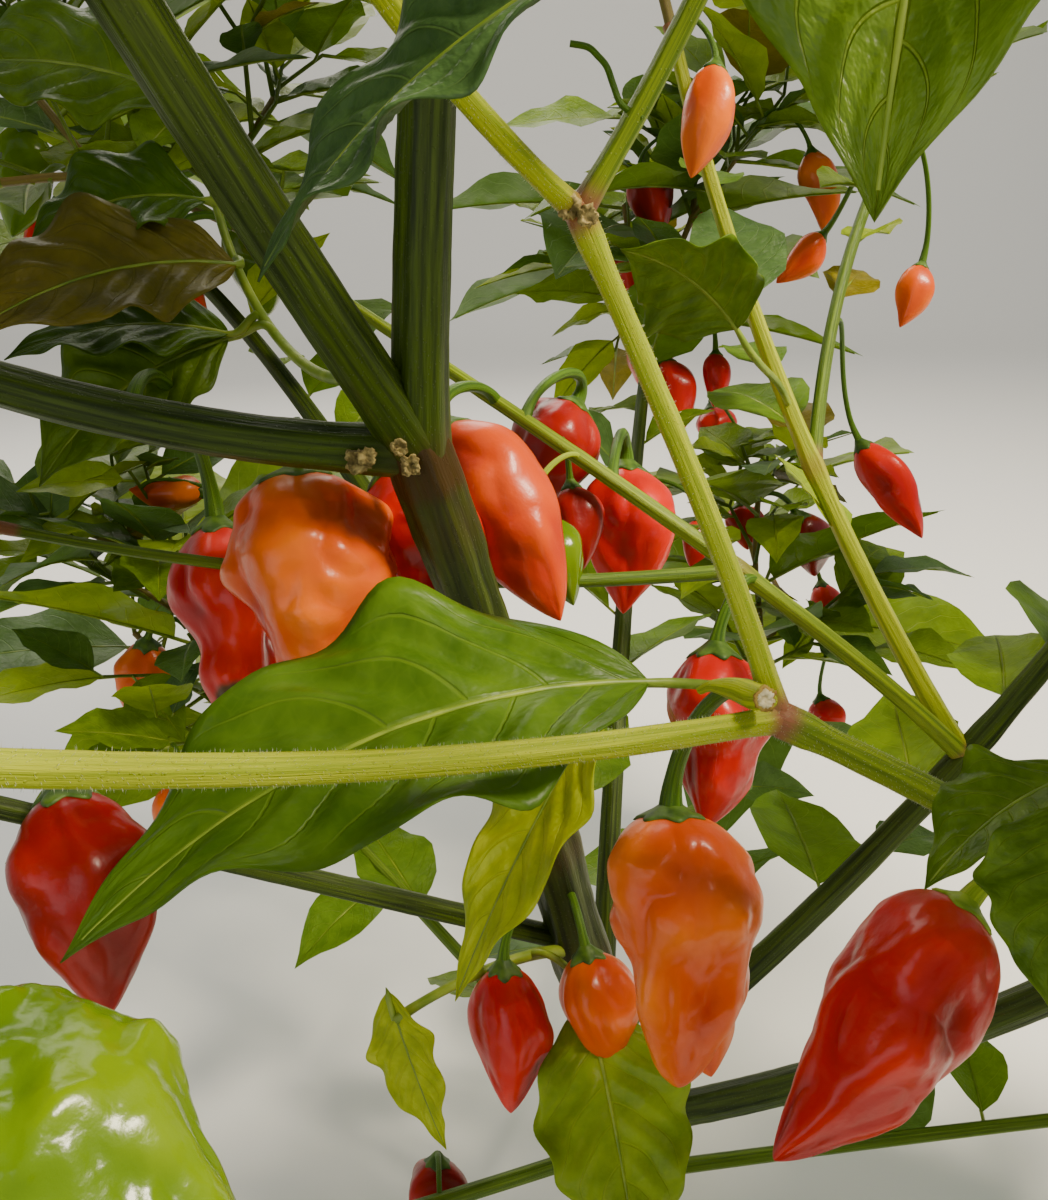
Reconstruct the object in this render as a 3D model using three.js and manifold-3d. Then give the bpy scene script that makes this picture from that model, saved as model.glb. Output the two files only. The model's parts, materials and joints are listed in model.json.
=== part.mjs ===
// Chilli pepper plant with wrinkled, lantern-shaped pods, rooted in open ground.
// The origin is the middle of the flat cut under the stem, at ground level, and +Z is up.
// -Y is the front, where a gap in the foliage shows the main fork and the ripe pods.
import * as THREE from "three";
import { mergeVertices } from "three/addons/utils/BufferGeometryUtils.js";
import Module from "manifold-3d";

const wasm = await Module();
wasm.setup();

// Driving dimensions, in millimetres and degrees.
const CLEARANCE = 0.3;
const CROWN = { centre: [-20, 0, 372], half: [400, 370, 340] };
const LOWEST_LEAF = 16;
const FRONT_GAP = {
  eye: [-44, -278, 378], dip: 22, halfWidth: 28, halfHeight: 31, depth: 335, room: 70,
};
const ROOT_FLARE = { height: 13, spread: 0.8, buttress: 0.12, buttresses: 5, cut: 6 };
const LEAF = {
  shortest: 104, longest: 138, width: 0.52, thick: 0.02, fold: 0.16, root: 0.9, room: 0.3,
  rise: [-32, 22], droop: [0.1, 0.32], roll: [-24, 24], tries: 7, turn: 73, shrink: 0.08,
};
const POD = {
  shortest: 38, longest: 54, slimmest: 23, widest: 31, chance: 0.42,
  reach: [17, 24], drop: [-12, -4], hang: [-84, -66], aside: 70, stalk: 3,
};
const POD_FORM = { shoulder: 0.7, fullness: 0.8, waistAt: 0.55, waistLength: 0.13, lobes: 3, lobe: 0.09 };
const CALYX = { radius: 0.3, under: 0.16, rim: 0.1, neck: 0.14 };
const STALK = {
  thickness: 3.8, horn: 0.42, outward: 0.25, upward: 0.32, ending: 0.4, leafStalk: 2.2,
};
const SHOOT = {
  length: 48, shorter: 0.84, thinner: 0.74, thinnest: 1.5, spread: 34, orders: 3, heart: 88,
  uneven: [0.9, 1.1], fork: [0.8, 1.25], upward: 0.08,
};
const LEAVES_ON_SHOOT = [2, 2, 3];
const CHANCE_OF = { shoot: 1, pod: 3, leaf: 7 };
const CELL_MARGIN = 1.2;
const LIMB_ROOM = 7;
const KEEPOUT_BOX = 40;
const GRID = 0.002;
const GOLDEN_ANGLE = 137.5;

// How finely each kind of piece is drawn.
const PATH_STEPS = 12;
const RING_EVERY = 3;
const BLADE_STEPS = 3;
const STALK_STEPS = 3;
const POD_RINGS = [0, 0.08, 0.3, 0.55, 0.8, 1];
const SMALL_POD_RINGS = [0, 0.12, 0.55, 1];
const SIDES = { trunk: 10, bough: 7, stem: 4, stalk: 3, twig: 3, pod: 8, smallPod: 5, calyx: 5 };

// Colours, seen in daylight.
const COLOURS = {
  wood: 0x4d6127, greenStem: 0x6c8f33, leaf: 0x3f7a35, youngLeaf: 0x6fa23c, darkLeaf: 0x2f5f3a,
  orange: 0xe8650c, red: 0xc8170c, darkRed: 0x96120c, lime: 0x9cc42a,
};

// A limb leaves its parent's axis at a share of the parent's length. Bearing is counted from +X
// towards +Y and rise from level; turn and lift are what they gain by the tip.
const LIMBS = {
  trunk: { bearing: 202, rise: 82, turn: 23, lift: -13, length: 332, base: 20, tip: 14 },
  bough_upright: {
    from: "trunk", at: 1, bearing: 284, rise: 76, turn: 29, lift: 2,
    length: 215, base: 12.5, tip: 7,
  },
  bough_upper_left: {
    from: "trunk", at: 1, bearing: 229, rise: 53, turn: 12, lift: 3,
    length: 246, base: 12, tip: 7,
  },
  bough_left: {
    from: "trunk", at: 1, bearing: 190, rise: 4, turn: -6, lift: 35,
    length: 206, base: 11, tip: 7,
  },
  bough_low_left: {
    from: "trunk", at: 0.48, bearing: 198, rise: 28, turn: 13, lift: 6,
    length: 256, base: 7, tip: 4.6,
  },
  bough_right: {
    from: "trunk", at: 0.22, bearing: 321, rise: 40, turn: 20, lift: 20,
    length: 364, base: 11, tip: 6,
  },
  bough_front: {
    from: "bough_right", at: 0.56, bearing: 185, rise: 33, turn: -5, lift: -6,
    length: 115, base: 7.5, tip: 6,
  },
  bough_front_left: {
    from: "bough_front", at: 1, bearing: 210, rise: 7, turn: 33, lift: 33,
    length: 253, base: 5.2, tip: 3.8,
  },
  bough_front_up: {
    from: "bough_front", at: 1, bearing: 134, rise: 65, turn: 54, lift: -1,
    length: 107, base: 5, tip: 4.4,
  },
  bough_front_up_left: {
    from: "bough_front_up", at: 1, bearing: 225, rise: 30, turn: 22, lift: 19,
    length: 154, base: 4.2, tip: 3.2,
  },
  bough_front_up_right: {
    from: "bough_front_up", at: 1, bearing: 2, rise: 58, turn: -8, lift: 19,
    length: 140, base: 4.2, tip: 3.2,
  },
  bough_back_right: {
    from: "trunk", at: 0.27, bearing: 2, rise: 46, turn: 32, lift: 4,
    length: 339, base: 10, tip: 6,
  },
  bough_middle_right: {
    from: "bough_back_right", at: 0.48, bearing: 143, rise: 51, turn: -4, lift: 19,
    length: 247, base: 6.8, tip: 4,
  },
  bough_middle: {
    from: "bough_back_right", at: 0.48, bearing: 191, rise: 44, turn: -50, lift: -23,
    length: 260, base: 6, tip: 3.4,
  },
  bough_back: {
    from: "trunk", at: 0.35, bearing: 84, rise: 52, turn: -4, lift: -21,
    length: 283, base: 8, tip: 5,
  },
  bough_back_left: {
    from: "trunk", at: 0.62, bearing: 126, rise: 45, turn: 8, lift: -22,
    length: 270, base: 8, tip: 5,
  },
};

// A mass of foliage grows on from a bough's tip, or from a stem of its own.
const MASSES = {
  foliage_left: { on: "bough_left", seed: 11 },
  foliage_upper_left: { on: "bough_upper_left", seed: 12 },
  foliage_top: { on: "bough_upright", seed: 13 },
  foliage_low_left: { on: "bough_low_left", seed: 14 },
  foliage_right: { on: "bough_right", seed: 15 },
  foliage_front_left: { on: "bough_front_left", seed: 16 },
  foliage_upper_front: { on: "bough_front_up_left", seed: 17 },
  foliage_upper_right: { on: "bough_front_up_right", seed: 18 },
  foliage_back_right: { on: "bough_back_right", seed: 19 },
  foliage_upper_back: { on: "bough_middle_right", seed: 20 },
  foliage_middle: { on: "bough_middle", seed: 21 },
  foliage_back: { on: "bough_back", seed: 22 },
  foliage_back_left: { on: "bough_back_left", seed: 23 },
  foliage_fork_right: {
    seed: 24,
    stem: {
      from: "bough_middle_right", at: 0.42, bearing: 79, rise: 60, turn: -49, lift: -16,
      length: 174, base: 4.6, tip: 3.2,
    },
  },
  foliage_cross: {
    seed: 25,
    stem: {
      from: "bough_middle", at: 0.385, bearing: 188, rise: -3, turn: 20, lift: 25,
      length: 197, base: 4.6, tip: 2.6,
    },
  },
  foliage_middle_right: {
    seed: 32,
    stem: {
      from: "bough_right", at: 0.5, bearing: 338, rise: 12, turn: -6, lift: 10,
      length: 150, base: 5, tip: 3.6,
    },
  },
  foliage_low_back: {
    seed: 26,
    stem: {
      from: "trunk", at: 0.3, bearing: 62, rise: 8, turn: 8, lift: 14,
      length: 190, base: 6, tip: 4,
    },
  },
  foliage_low_back_left: {
    seed: 27,
    stem: {
      from: "trunk", at: 0.2, bearing: 136, rise: 20, turn: 6, lift: 6,
      length: 185, base: 6, tip: 4,
    },
  },
  foliage_low_right: {
    seed: 28,
    stem: {
      from: "trunk", at: 0.13, bearing: 350, rise: 22, turn: -6, lift: 4,
      length: 180, base: 6, tip: 4,
    },
  },
  foliage_low_front: {
    seed: 29,
    stem: {
      from: "trunk", at: 0.15, bearing: 262, rise: 16, turn: 6, lift: 14,
      length: 215, base: 6, tip: 4,
    },
  },
  foliage_low_front_right: {
    seed: 30,
    stem: {
      from: "trunk", at: 0.09, bearing: 306, rise: 24, turn: 4, lift: 8,
      length: 235, base: 6, tip: 4,
    },
  },
  foliage_low_front_left: {
    seed: 31,
    stem: {
      from: "trunk", at: 0.18, bearing: 215, rise: 18, turn: 4, lift: 8,
      length: 215, base: 6, tip: 4,
    },
  },
};

// A pod's stalk reaches from its limb to the pod's shoulder, which hangs on a bearing and a rise.
const PODS = {
  pod_orange_wrinkled: {
    from: "bough_left", at: 0.13, reach: [-4, 19, -12], hang: [281, -67],
    length: 53, width: 38, colour: "orange", fullness: 0.55,
  },
  pod_red_waisted: {
    from: "bough_left", at: 0.3, reach: [0, 51, -40], hang: [287, -62],
    length: 61, width: 30, waist: 0.3, colour: "red",
  },
  pod_red_behind_fork: {
    from: "trunk", at: 0.97, reach: [-14, 35, -4], hang: [321, -57],
    length: 50, width: 30, colour: "red",
  },
  pod_slanting: {
    from: "bough_middle", at: 0.72, reach: [-13, -28, -1], hang: [317, -47],
    length: 62, width: 30, colour: "orange",
  },
  pod_dark_red: {
    from: "bough_middle", at: 0.68, reach: [17, 43, -4], hang: [223, -49],
    length: 40, width: 30, colour: "darkRed",
  },
  pod_small_lime: {
    from: "bough_middle", at: 0.6, reach: [-14, -13, -13], hang: [321, -59],
    length: 28, width: 16, colour: "lime",
  },
  pod_red_middle: {
    from: "bough_middle", at: 0.56, reach: [8, 40, -6], hang: [267, -67],
    length: 49, width: 30, colour: "red",
  },
  pod_red_under_node: {
    from: "bough_middle", at: 0.36, reach: [-13, -15, -14], hang: [261, -68],
    length: 52, width: 30, waist: 0.2, colour: "red",
  },
  pod_two_horned: {
    from: "bough_front", at: 1, reach: [-17, 23, -38], hang: [272, -63],
    length: 63, width: 34, waist: 0.12, horn: true, colour: "orange", shoulder: 0.6, fullness: 0.6,
  },
  pod_orange_behind: {
    from: "trunk", at: 0.555, reach: [6, -22, -6], hang: [298, -65],
    length: 34, width: 22, colour: "orange",
  },
  pod_large_red: {
    from: "bough_front", at: 0.15, reach: [-47, -17, 12], hang: [213, -39],
    length: 63, width: 29, colour: "red", shoulder: 0.56, fullness: 0.7,
  },
  pod_low_red: {
    from: "trunk", at: 0.575, reach: [-16, -27, -12], hang: [278, -68],
    length: 41, width: 22, colour: "red",
  },
  pod_left_dark: {
    from: "bough_low_left", at: 0.64, reach: [9, -4, 10], hang: [297, -56],
    length: 52, width: 30, colour: "darkRed",
  },
  pod_near_lime: {
    from: "bough_front_left", at: 0.62, reach: [-18, 0, -40], hang: [337, -20],
    length: 60, width: 35, colour: "lime",
  },
};

// Single leaves and small sprays of the open middle. A leaf's stalk has a reach as a pod's has,
// and its blade follows a bearing and rise that turn and lift to the tip.
const SPRAYS = {
  leaf_large: {
    from: "bough_front", at: 1, colour: "leaf",
    leaves: [{
      reach: [-26, 5, 6], bearing: 198, rise: 14, turn: 12, lift: -58,
      length: 127, width: 60, roll: -15,
    }],
  },
  leaf_near: {
    from: "bough_front_up_left", at: 0.55, colour: "darkLeaf",
    leaves: [{
      reach: [41, -31, -22], bearing: 165, rise: -19, turn: -1, lift: -38,
      length: 53, width: 24, roll: -37,
    }],
  },
  leaf_centre_right: {
    from: "bough_middle_right", at: 0.5, colour: "darkLeaf",
    leaves: [{
      reach: [-24, -26, 28], bearing: 189, rise: 57, turn: 6, lift: -50,
      length: 43, width: 40, roll: -128,
    }],
  },
  leaf_sunlit: {
    from: "trunk", at: 0.8, colour: "youngLeaf",
    leaves: [{
      reach: [27, -12, -2], bearing: 218, rise: -46, turn: -2, lift: -20,
      length: 84, width: 30, roll: 0,
    }],
  },
  spray_left: {
    from: "bough_upper_left", at: 0.1, colour: "darkLeaf",
    twig: { bearing: 123, rise: -23, turn: 19, lift: 122, length: 101, base: 3, tip: 1.8 },
    leaves: [
      {
        at: 1, reach: [-2, -2, 2], bearing: 182, rise: 28, turn: 4, lift: -44,
        length: 60, width: 38, roll: -44,
      },
      {
        at: 0.8, reach: [-2, -1, 1], bearing: 199, rise: 17, turn: 4, lift: -64,
        length: 45, width: 30, roll: -39,
      },
      {
        at: 0.66, reach: [2, -6, 0], bearing: 220, rise: 12, turn: 6, lift: -46,
        length: 68, width: 34, roll: -40,
      },
      {
        at: 0.5, reach: [-9, 2, -4], bearing: 190, rise: 18, turn: 4, lift: -46,
        length: 53, width: 28, roll: -28,
      },
      {
        at: 0.44, reach: [-13, 7, -2], bearing: 201, rise: -9, turn: 4, lift: -50,
        length: 59, width: 36, roll: -47,
      },
    ],
  },
  spray_right_edge: {
    from: "bough_front", at: 0.42, colour: "darkLeaf",
    twig: { bearing: 296, rise: 44, turn: 4, lift: -8, length: 44, base: 3, tip: 2 },
    leaves: [
      {
        at: 0.6, reach: [-14, -4, 14], bearing: 204, rise: 10, turn: 6, lift: -56,
        length: 43, width: 26, roll: 7,
      },
      {
        at: 0.85, reach: [-32, -13, 11], bearing: 255, rise: -28, turn: 4, lift: -40,
        length: 37, width: 28, roll: -4,
      },
    ],
  },
  spray_low: {
    from: "trunk", at: 0.46, colour: "youngLeaf",
    twig: { bearing: 236, rise: 50, turn: -41, lift: -82, length: 74, base: 4, tip: 2.5 },
    leaves: [
      {
        at: 1, reach: [-2, 3, 7], bearing: 310, rise: -65, turn: 4, lift: 14,
        length: 46, width: 22, roll: 64,
      },
      {
        at: 0.4, reach: [16, -11, -6], bearing: 284, rise: -27, turn: 4, lift: -44,
        length: 75, width: 42, roll: 5,
      },
    ],
  },
  spray_top_right: {
    from: "bough_front_up_right", at: 0.45, colour: "darkLeaf",
    twig: { bearing: 276, rise: 6, turn: -13, lift: -19, length: 98, base: 3, tip: 2 },
    leaves: [
      {
        at: 1, reach: [-3, -6, -6], bearing: 242, rise: -31, turn: 8, lift: -50,
        length: 50, width: 34, roll: -2,
      },
      {
        at: 0.7, reach: [9, -4, 5], bearing: 340, rise: 16, turn: 6, lift: -50,
        length: 66, width: 36, roll: 0,
      },
    ],
  },
};

const v3 = (place) => new THREE.Vector3(...place);
const radians = THREE.MathUtils.degToRad;
const UP = v3([0, 0, 1]);

function heading(bearing, rise) {
  const level = Math.cos(radians(rise));
  return v3([
    Math.cos(radians(bearing)) * level,
    Math.sin(radians(bearing)) * level,
    Math.sin(radians(rise)),
  ]);
}

// The path of a limb, twig or leaf, walked in equal straight steps.
function walk(start, { bearing, rise, turn, lift, length }, steps = PATH_STEPS) {
  const points = [start.clone()];
  for (let step = 0; step < steps; step += 1) {
    const share = (step + 0.5) / steps;
    const ahead = heading(bearing + turn * share, rise + lift * share);
    points.push(points[step].clone().addScaledVector(ahead, length / steps));
  }
  return points;
}

function along(points, share) {
  const place = share * (points.length - 1);
  const index = Math.min(Math.floor(place), points.length - 2);
  return points[index].clone().lerp(points[index + 1], place - index);
}

function endHeading(points) {
  return points[points.length - 1].clone().sub(points[points.length - 2]).normalize();
}

// A stalk bends out of its limb and ends along the way its pod or leaf points.
function stalkPath(start, reach, ahead, steps) {
  const end = start.clone().add(reach);
  const span = reach.length();
  const outward = v3([reach.x, reach.y, 0]).normalize()
    .multiplyScalar(STALK.outward).addScaledVector(UP, STALK.upward);
  const curve = new THREE.CubicBezierCurve3(
    start,
    start.clone().addScaledVector(outward, span),
    end.clone().addScaledVector(ahead, -STALK.ending * span),
    end,
  );
  return curve.getPoints(steps);
}

// A closed solid from shared corners and triangles, turned so that its faces point out.
function solidFrom(corners, triangles) {
  const build = (faces) => new wasm.Manifold(new wasm.Mesh({
    numProp: 3,
    vertProperties: new Float32Array(corners),
    triVerts: new Uint32Array(faces),
  }));
  const solid = build(triangles);
  if (solid.volume() > 0) {
    return solid;
  }
  return build([...triangles].reverse());
}

function solidFromGeometry(geometry) {
  geometry.deleteAttribute("normal");
  geometry.deleteAttribute("uv");
  const merged = mergeVertices(geometry, 1e-4);
  return solidFrom(merged.attributes.position.array, merged.index.array);
}

// A round or angular tube with its own radius at each point of its path, closed at both ends.
function taperedTube(points, radiusAt, sides) {
  const corners = [];
  let side = null;
  points.forEach((point, ring) => {
    const before = points[Math.max(ring - 1, 0)];
    const after = points[Math.min(ring + 1, points.length - 1)];
    const ahead = after.clone().sub(before).normalize();
    if (side === null) {
      side = v3([1, 0, 0]);
      if (Math.abs(ahead.x) > 0.8) {
        side = v3([0, 1, 0]);
      }
    }
    side = side.clone().addScaledVector(ahead, -side.dot(ahead)).normalize();
    const across = ahead.clone().cross(side);
    const share = ring / (points.length - 1);
    for (let corner = 0; corner < sides; corner += 1) {
      const angle = (2 * Math.PI * corner) / sides;
      const radius = radiusAt(share, angle, point);
      const place = point.clone()
        .addScaledVector(side, radius * Math.cos(angle))
        .addScaledVector(across, radius * Math.sin(angle));
      corners.push(place.x, place.y, place.z);
    }
  });
  const triangles = [];
  for (let ring = 0; ring < points.length - 1; ring += 1) {
    for (let corner = 0; corner < sides; corner += 1) {
      const next = (corner + 1) % sides;
      const a = ring * sides + corner;
      const b = ring * sides + next;
      triangles.push(a, b, b + sides, a, b + sides, a + sides);
    }
  }
  const last = (points.length - 1) * sides;
  for (let corner = 1; corner < sides - 1; corner += 1) {
    triangles.push(0, corner + 1, corner, last, last + corner, last + corner + 1);
  }
  return solidFrom(corners, triangles);
}

function limbTube(points, { base, tip }, sides, grow = 0) {
  const path = points.filter((point, index) => index % RING_EVERY === 0);
  if (grow > 0) {
    const first = path[0].clone().sub(path[1]).normalize();
    const lastStep = endHeading(path);
    path[0] = path[0].clone().addScaledVector(first, grow);
    path[path.length - 1] = path[path.length - 1].clone().addScaledVector(lastStep, grow);
  }
  return taperedTube(path, (share) => (base + (tip - base) * share) / 2 + grow, sides);
}

// The trunk starts in the ground's plane, and swells into low buttresses over its roots.
function trunkTube(points, { base, tip }, grow = 0) {
  const foot = points[0].clone().addScaledVector(UP, -ROOT_FLARE.cut);
  const path = [foot, along(points, 0.02), along(points, 0.05), along(points, 0.1)];
  for (let share = 0.25; share < 1.01; share += 0.15) {
    path.push(along(points, Math.min(share, 1)));
  }
  if (grow > 0) {
    path[path.length - 1] = path[path.length - 1].clone().addScaledVector(endHeading(points), grow);
  }
  const height = points[points.length - 1].z;
  const radiusAt = (share, angle, point) => {
    const straight = (base + (tip - base) * (point.z / height)) / 2;
    const flare = ROOT_FLARE.spread * Math.exp(-Math.max(point.z, 0) / ROOT_FLARE.height);
    const buttress = 1 + ROOT_FLARE.buttress * Math.cos(ROOT_FLARE.buttresses * angle);
    return straight * (1 + flare * buttress) + grow;
  };
  const tube = taperedTube(path, radiusAt, SIDES.trunk);
  if (grow > 0) {
    return tube;
  }
  return tube.subtract(groundBlock());
}

function groundBlock() {
  const block = new THREE.BoxGeometry(200, 200, 60);
  block.translate(0, 0, -30);
  return solidFromGeometry(block);
}

// A pod is widest at its shoulders and draws in to a pointed tip.
function podRadius(share, pod) {
  const { width, waist = 0, shoulder = POD_FORM.shoulder, fullness = POD_FORM.fullness } = pod;
  const body = Math.sin(Math.PI * share ** shoulder) ** fullness;
  const fromWaist = (share - POD_FORM.waistAt) / POD_FORM.waistLength;
  const pinch = 1 - waist * Math.exp(-(fromWaist ** 2));
  return (width / 2) * body * pinch;
}

function turnedPod(top, ahead, pod, sides, shares, grow = 0) {
  const profile = shares.map((share) => {
    const ends = share === 0 || share === 1;
    const radius = ends ? 0 : podRadius(share, pod) + grow;
    const stretch = share === 0 ? -grow : share === 1 ? grow : 0;
    return new THREE.Vector2(radius, share * pod.length + stretch);
  });
  const geometry = new THREE.LatheGeometry(profile, sides);
  const corners = geometry.attributes.position;
  for (let index = 0; index < corners.count; index += 1) {
    const angle = Math.atan2(corners.getX(index), corners.getZ(index));
    const lobe = 1 + POD_FORM.lobe * Math.cos(POD_FORM.lobes * angle + pod.length);
    corners.setX(index, corners.getX(index) * lobe);
    corners.setZ(index, corners.getZ(index) * lobe);
  }
  geometry.applyQuaternion(new THREE.Quaternion().setFromUnitVectors(v3([0, 1, 0]), ahead));
  geometry.translate(top.x, top.y, top.z);
  return solidFromGeometry(geometry);
}

// The green cap over a pod's shoulder, wider than the stalk that runs into it.
function calyxCap(top, ahead, width, grow = 0) {
  const profile = [
    new THREE.Vector2(0, width * CALYX.under),
    new THREE.Vector2(width * CALYX.radius + grow, width * CALYX.rim + grow),
    new THREE.Vector2(0, -width * CALYX.neck - grow),
  ];
  const geometry = new THREE.LatheGeometry(profile, SIDES.calyx);
  geometry.applyQuaternion(new THREE.Quaternion().setFromUnitVectors(v3([0, 1, 0]), ahead));
  geometry.translate(top.x, top.y, top.z);
  return solidFromGeometry(geometry);
}

function podSolid(start, pod, grow = 0) {
  const ahead = heading(...pod.hang);
  const path = stalkPath(start, v3(pod.reach), ahead, STALK_STEPS);
  const top = path[STALK_STEPS];
  path.push(top.clone().addScaledVector(ahead, pod.width * 0.05));
  const stalkRadius = (share) => (STALK.thickness * (0.8 + 0.4 * share)) / 2 + grow;
  let solid = taperedTube(path, stalkRadius, SIDES.stalk);
  solid = solid.add(calyxCap(top, ahead, pod.width, grow));
  solid = solid.add(turnedPod(top, ahead, pod, SIDES.pod, POD_RINGS, grow));
  if (pod.horn) {
    const hornTop = top.clone().addScaledVector(ahead, pod.length * (1 - STALK.horn));
    const hornAhead = ahead.clone().add(v3([0.3, 0, 0.06])).normalize();
    const horn = { width: pod.width * 0.46, length: pod.length * (STALK.horn - 0.02) };
    solid = solid.add(turnedPod(hornTop, hornAhead, horn, SIDES.calyx, SMALL_POD_RINGS, grow));
  }
  return solid;
}

// A leaf blade: a closed lens whose midrib follows the path, with both margins folded up a little.
// Its root is an upright edge, tall enough to be held well inside its twig or stalk.
function bladeSolid(path, width, roll = 0, grow = 0) {
  const length = path.slice(1).reduce((sum, point, index) => sum + point.distanceTo(path[index]), 0);
  const half = (length * LEAF.thick) / 2 + grow;
  const corners = [];
  const root = path[0].clone().addScaledVector(endHeading([path[1], path[0]]), grow);
  const upright = root.clone().addScaledVector(UP, LEAF.root / 2);
  const last = path[path.length - 1].clone().addScaledVector(endHeading(path), grow);
  corners.push(...upright, ...last);
  const stations = path.length - 2;
  for (let station = 1; station <= stations; station += 1) {
    const share = station / (path.length - 1);
    const ahead = path[station + 1].clone().sub(path[station - 1]).normalize();
    const side = ahead.clone().cross(UP).normalize().applyAxisAngle(ahead, radians(roll));
    const face = side.clone().cross(ahead).normalize();
    const reach = (width / 2) * bladeWidth(share) + grow;
    const margin = path[station].clone().addScaledVector(face, reach * LEAF.fold);
    corners.push(...margin.clone().addScaledVector(side, reach));
    corners.push(...path[station].clone().addScaledVector(face, half));
    corners.push(...margin.clone().addScaledVector(side, -reach));
    corners.push(...path[station].clone().addScaledVector(face, -half));
  }
  corners.push(...upright.addScaledVector(UP, -LEAF.root));
  const under = corners.length / 3 - 1;
  const triangles = [0, 2, under, 0, under, 4];
  for (let corner = 0; corner < 4; corner += 1) {
    const next = (corner + 1) % 4;
    triangles.push(corner < 2 ? 0 : under, 2 + next, 2 + corner);
    for (let station = 0; station < stations - 1; station += 1) {
      const a = 2 + station * 4 + corner;
      const b = 2 + station * 4 + next;
      triangles.push(a, b, b + 4, a, b + 4, a + 4);
    }
    const end = 2 + (stations - 1) * 4;
    triangles.push(1, end + corner, end + next);
  }
  return solidFrom(corners, triangles);
}

// Share of a blade's full width along its length: widest at two fifths, drawn out to the tip.
function bladeWidth(share) {
  return Math.sin(Math.PI * share ** 0.75) ** 0.9;
}

function spraySolid(spray, start, grow = 0) {
  let twigPath = null;
  let solid = null;
  if (spray.twig) {
    twigPath = walk(start, spray.twig);
    solid = limbTube(twigPath, spray.twig, SIDES.stalk, grow);
  }
  spray.leaves.forEach((leaf) => {
    const from = twigPath ? along(twigPath, leaf.at) : start;
    const stalk = stalkPath(from, v3(leaf.reach), heading(leaf.bearing, leaf.rise), 2);
    const base = stalk[stalk.length - 1];
    const bladePath = walk(base, leaf, BLADE_STEPS);
    stalk.push(along(bladePath, 0.12));
    const stalkTube = taperedTube(stalk, () => STALK.leafStalk / 2 + grow, SIDES.stalk);
    const blade = bladeSolid(bladePath, leaf.width, leaf.roll, grow);
    solid = solid ? solid.add(stalkTube) : stalkTube;
    solid = solid.add(blade);
  });
  return solid;
}

// Seeded chance: the same keys always give the same run of numbers.
function chanceFrom(...keys) {
  let state = 2166136261;
  keys.forEach((key) => {
    state = Math.imul(state ^ key, 16777619) >>> 0;
    state = (state ^ (state >>> 13)) >>> 0;
  });
  const next = () => {
    state = (Math.imul(state, 1664525) + 1013904223) >>> 0;
    return state / 4294967296;
  };
  next();
  next();
  return (low, high) => low + (high - low) * next();
}

// Places that leaves and twigs stay out of, as balls kept in a grid of boxes.
class Keepout {
  constructor(size) {
    this.size = size;
    this.boxes = new Map();
  }

  key(x, y, z) {
    return `${x},${y},${z}`;
  }

  add(centre, radius, owner = "own") {
    const low = ["x", "y", "z"].map((axis) => Math.floor((centre[axis] - radius) / this.size));
    const high = ["x", "y", "z"].map((axis) => Math.floor((centre[axis] + radius) / this.size));
    for (let x = low[0]; x <= high[0]; x += 1) {
      for (let y = low[1]; y <= high[1]; y += 1) {
        for (let z = low[2]; z <= high[2]; z += 1) {
          const key = this.key(x, y, z);
          if (!this.boxes.has(key)) {
            this.boxes.set(key, []);
          }
          this.boxes.get(key).push({ centre, radius, owner });
        }
      }
    }
  }

  addPath(points, radiusAt, owner) {
    for (let index = 0; index < points.length - 1; index += 1) {
      const share = index / (points.length - 1);
      const pieces = Math.ceil(points[index].distanceTo(points[index + 1]) / 8);
      for (let piece = 0; piece < pieces; piece += 1) {
        const centre = points[index].clone().lerp(points[index + 1], piece / pieces);
        this.add(centre, radiusAt(share), owner);
      }
    }
  }

  hits(point, owner = "none") {
    const key = this.key(...["x", "y", "z"].map((axis) => Math.floor(point[axis] / this.size)));
    const balls = this.boxes.get(key) ?? [];
    return balls.some((ball) => ball.owner !== owner && ball.centre.distanceTo(point) < ball.radius);
  }
}

// Limbs, and the stems that masses start with, all laid out before anything is made solid.
const limbPaths = {};
Object.entries(LIMBS).forEach(([name, limb]) => {
  const start = limb.from ? along(limbPaths[limb.from], limb.at) : v3([0, 0, 0]);
  limbPaths[name] = walk(start, limb);
});
const stemPaths = {};
Object.entries(MASSES).forEach(([name, mass]) => {
  if (mass.stem) {
    stemPaths[name] = walk(along(limbPaths[mass.stem.from], mass.stem.at), mass.stem);
  }
});

// The heart of each mass: every leaf belongs to the mass whose heart is nearest.
const hearts = {};
Object.entries(MASSES).forEach(([name, mass]) => {
  const path = stemPaths[name] ?? limbPaths[mass.on];
  hearts[name] = along(path, 1).addScaledVector(endHeading(path), SHOOT.heart);
});

const keepout = new Keepout(KEEPOUT_BOX);
Object.entries(limbPaths).forEach(([name, path]) => {
  const { base, tip } = LIMBS[name];
  keepout.addPath(path, (share) => (base + (tip - base) * share) / 2 + LIMB_ROOM, name);
});
Object.entries(stemPaths).forEach(([name, path]) => {
  const { base, tip } = MASSES[name].stem;
  keepout.addPath(path, (share) => (base + (tip - base) * share) / 2 + LIMB_ROOM, name);
});
Object.entries(PODS).forEach(([name, pod]) => {
  const start = along(limbPaths[pod.from], pod.at);
  const ahead = heading(...pod.hang);
  const path = stalkPath(start, v3(pod.reach), ahead, STALK_STEPS);
  keepout.addPath(path, () => LIMB_ROOM, name);
  const top = path[STALK_STEPS];
  const tip = top.clone().addScaledVector(ahead, pod.length);
  keepout.addPath([top, tip], () => pod.width / 2 + LIMB_ROOM, name);
});
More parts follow.
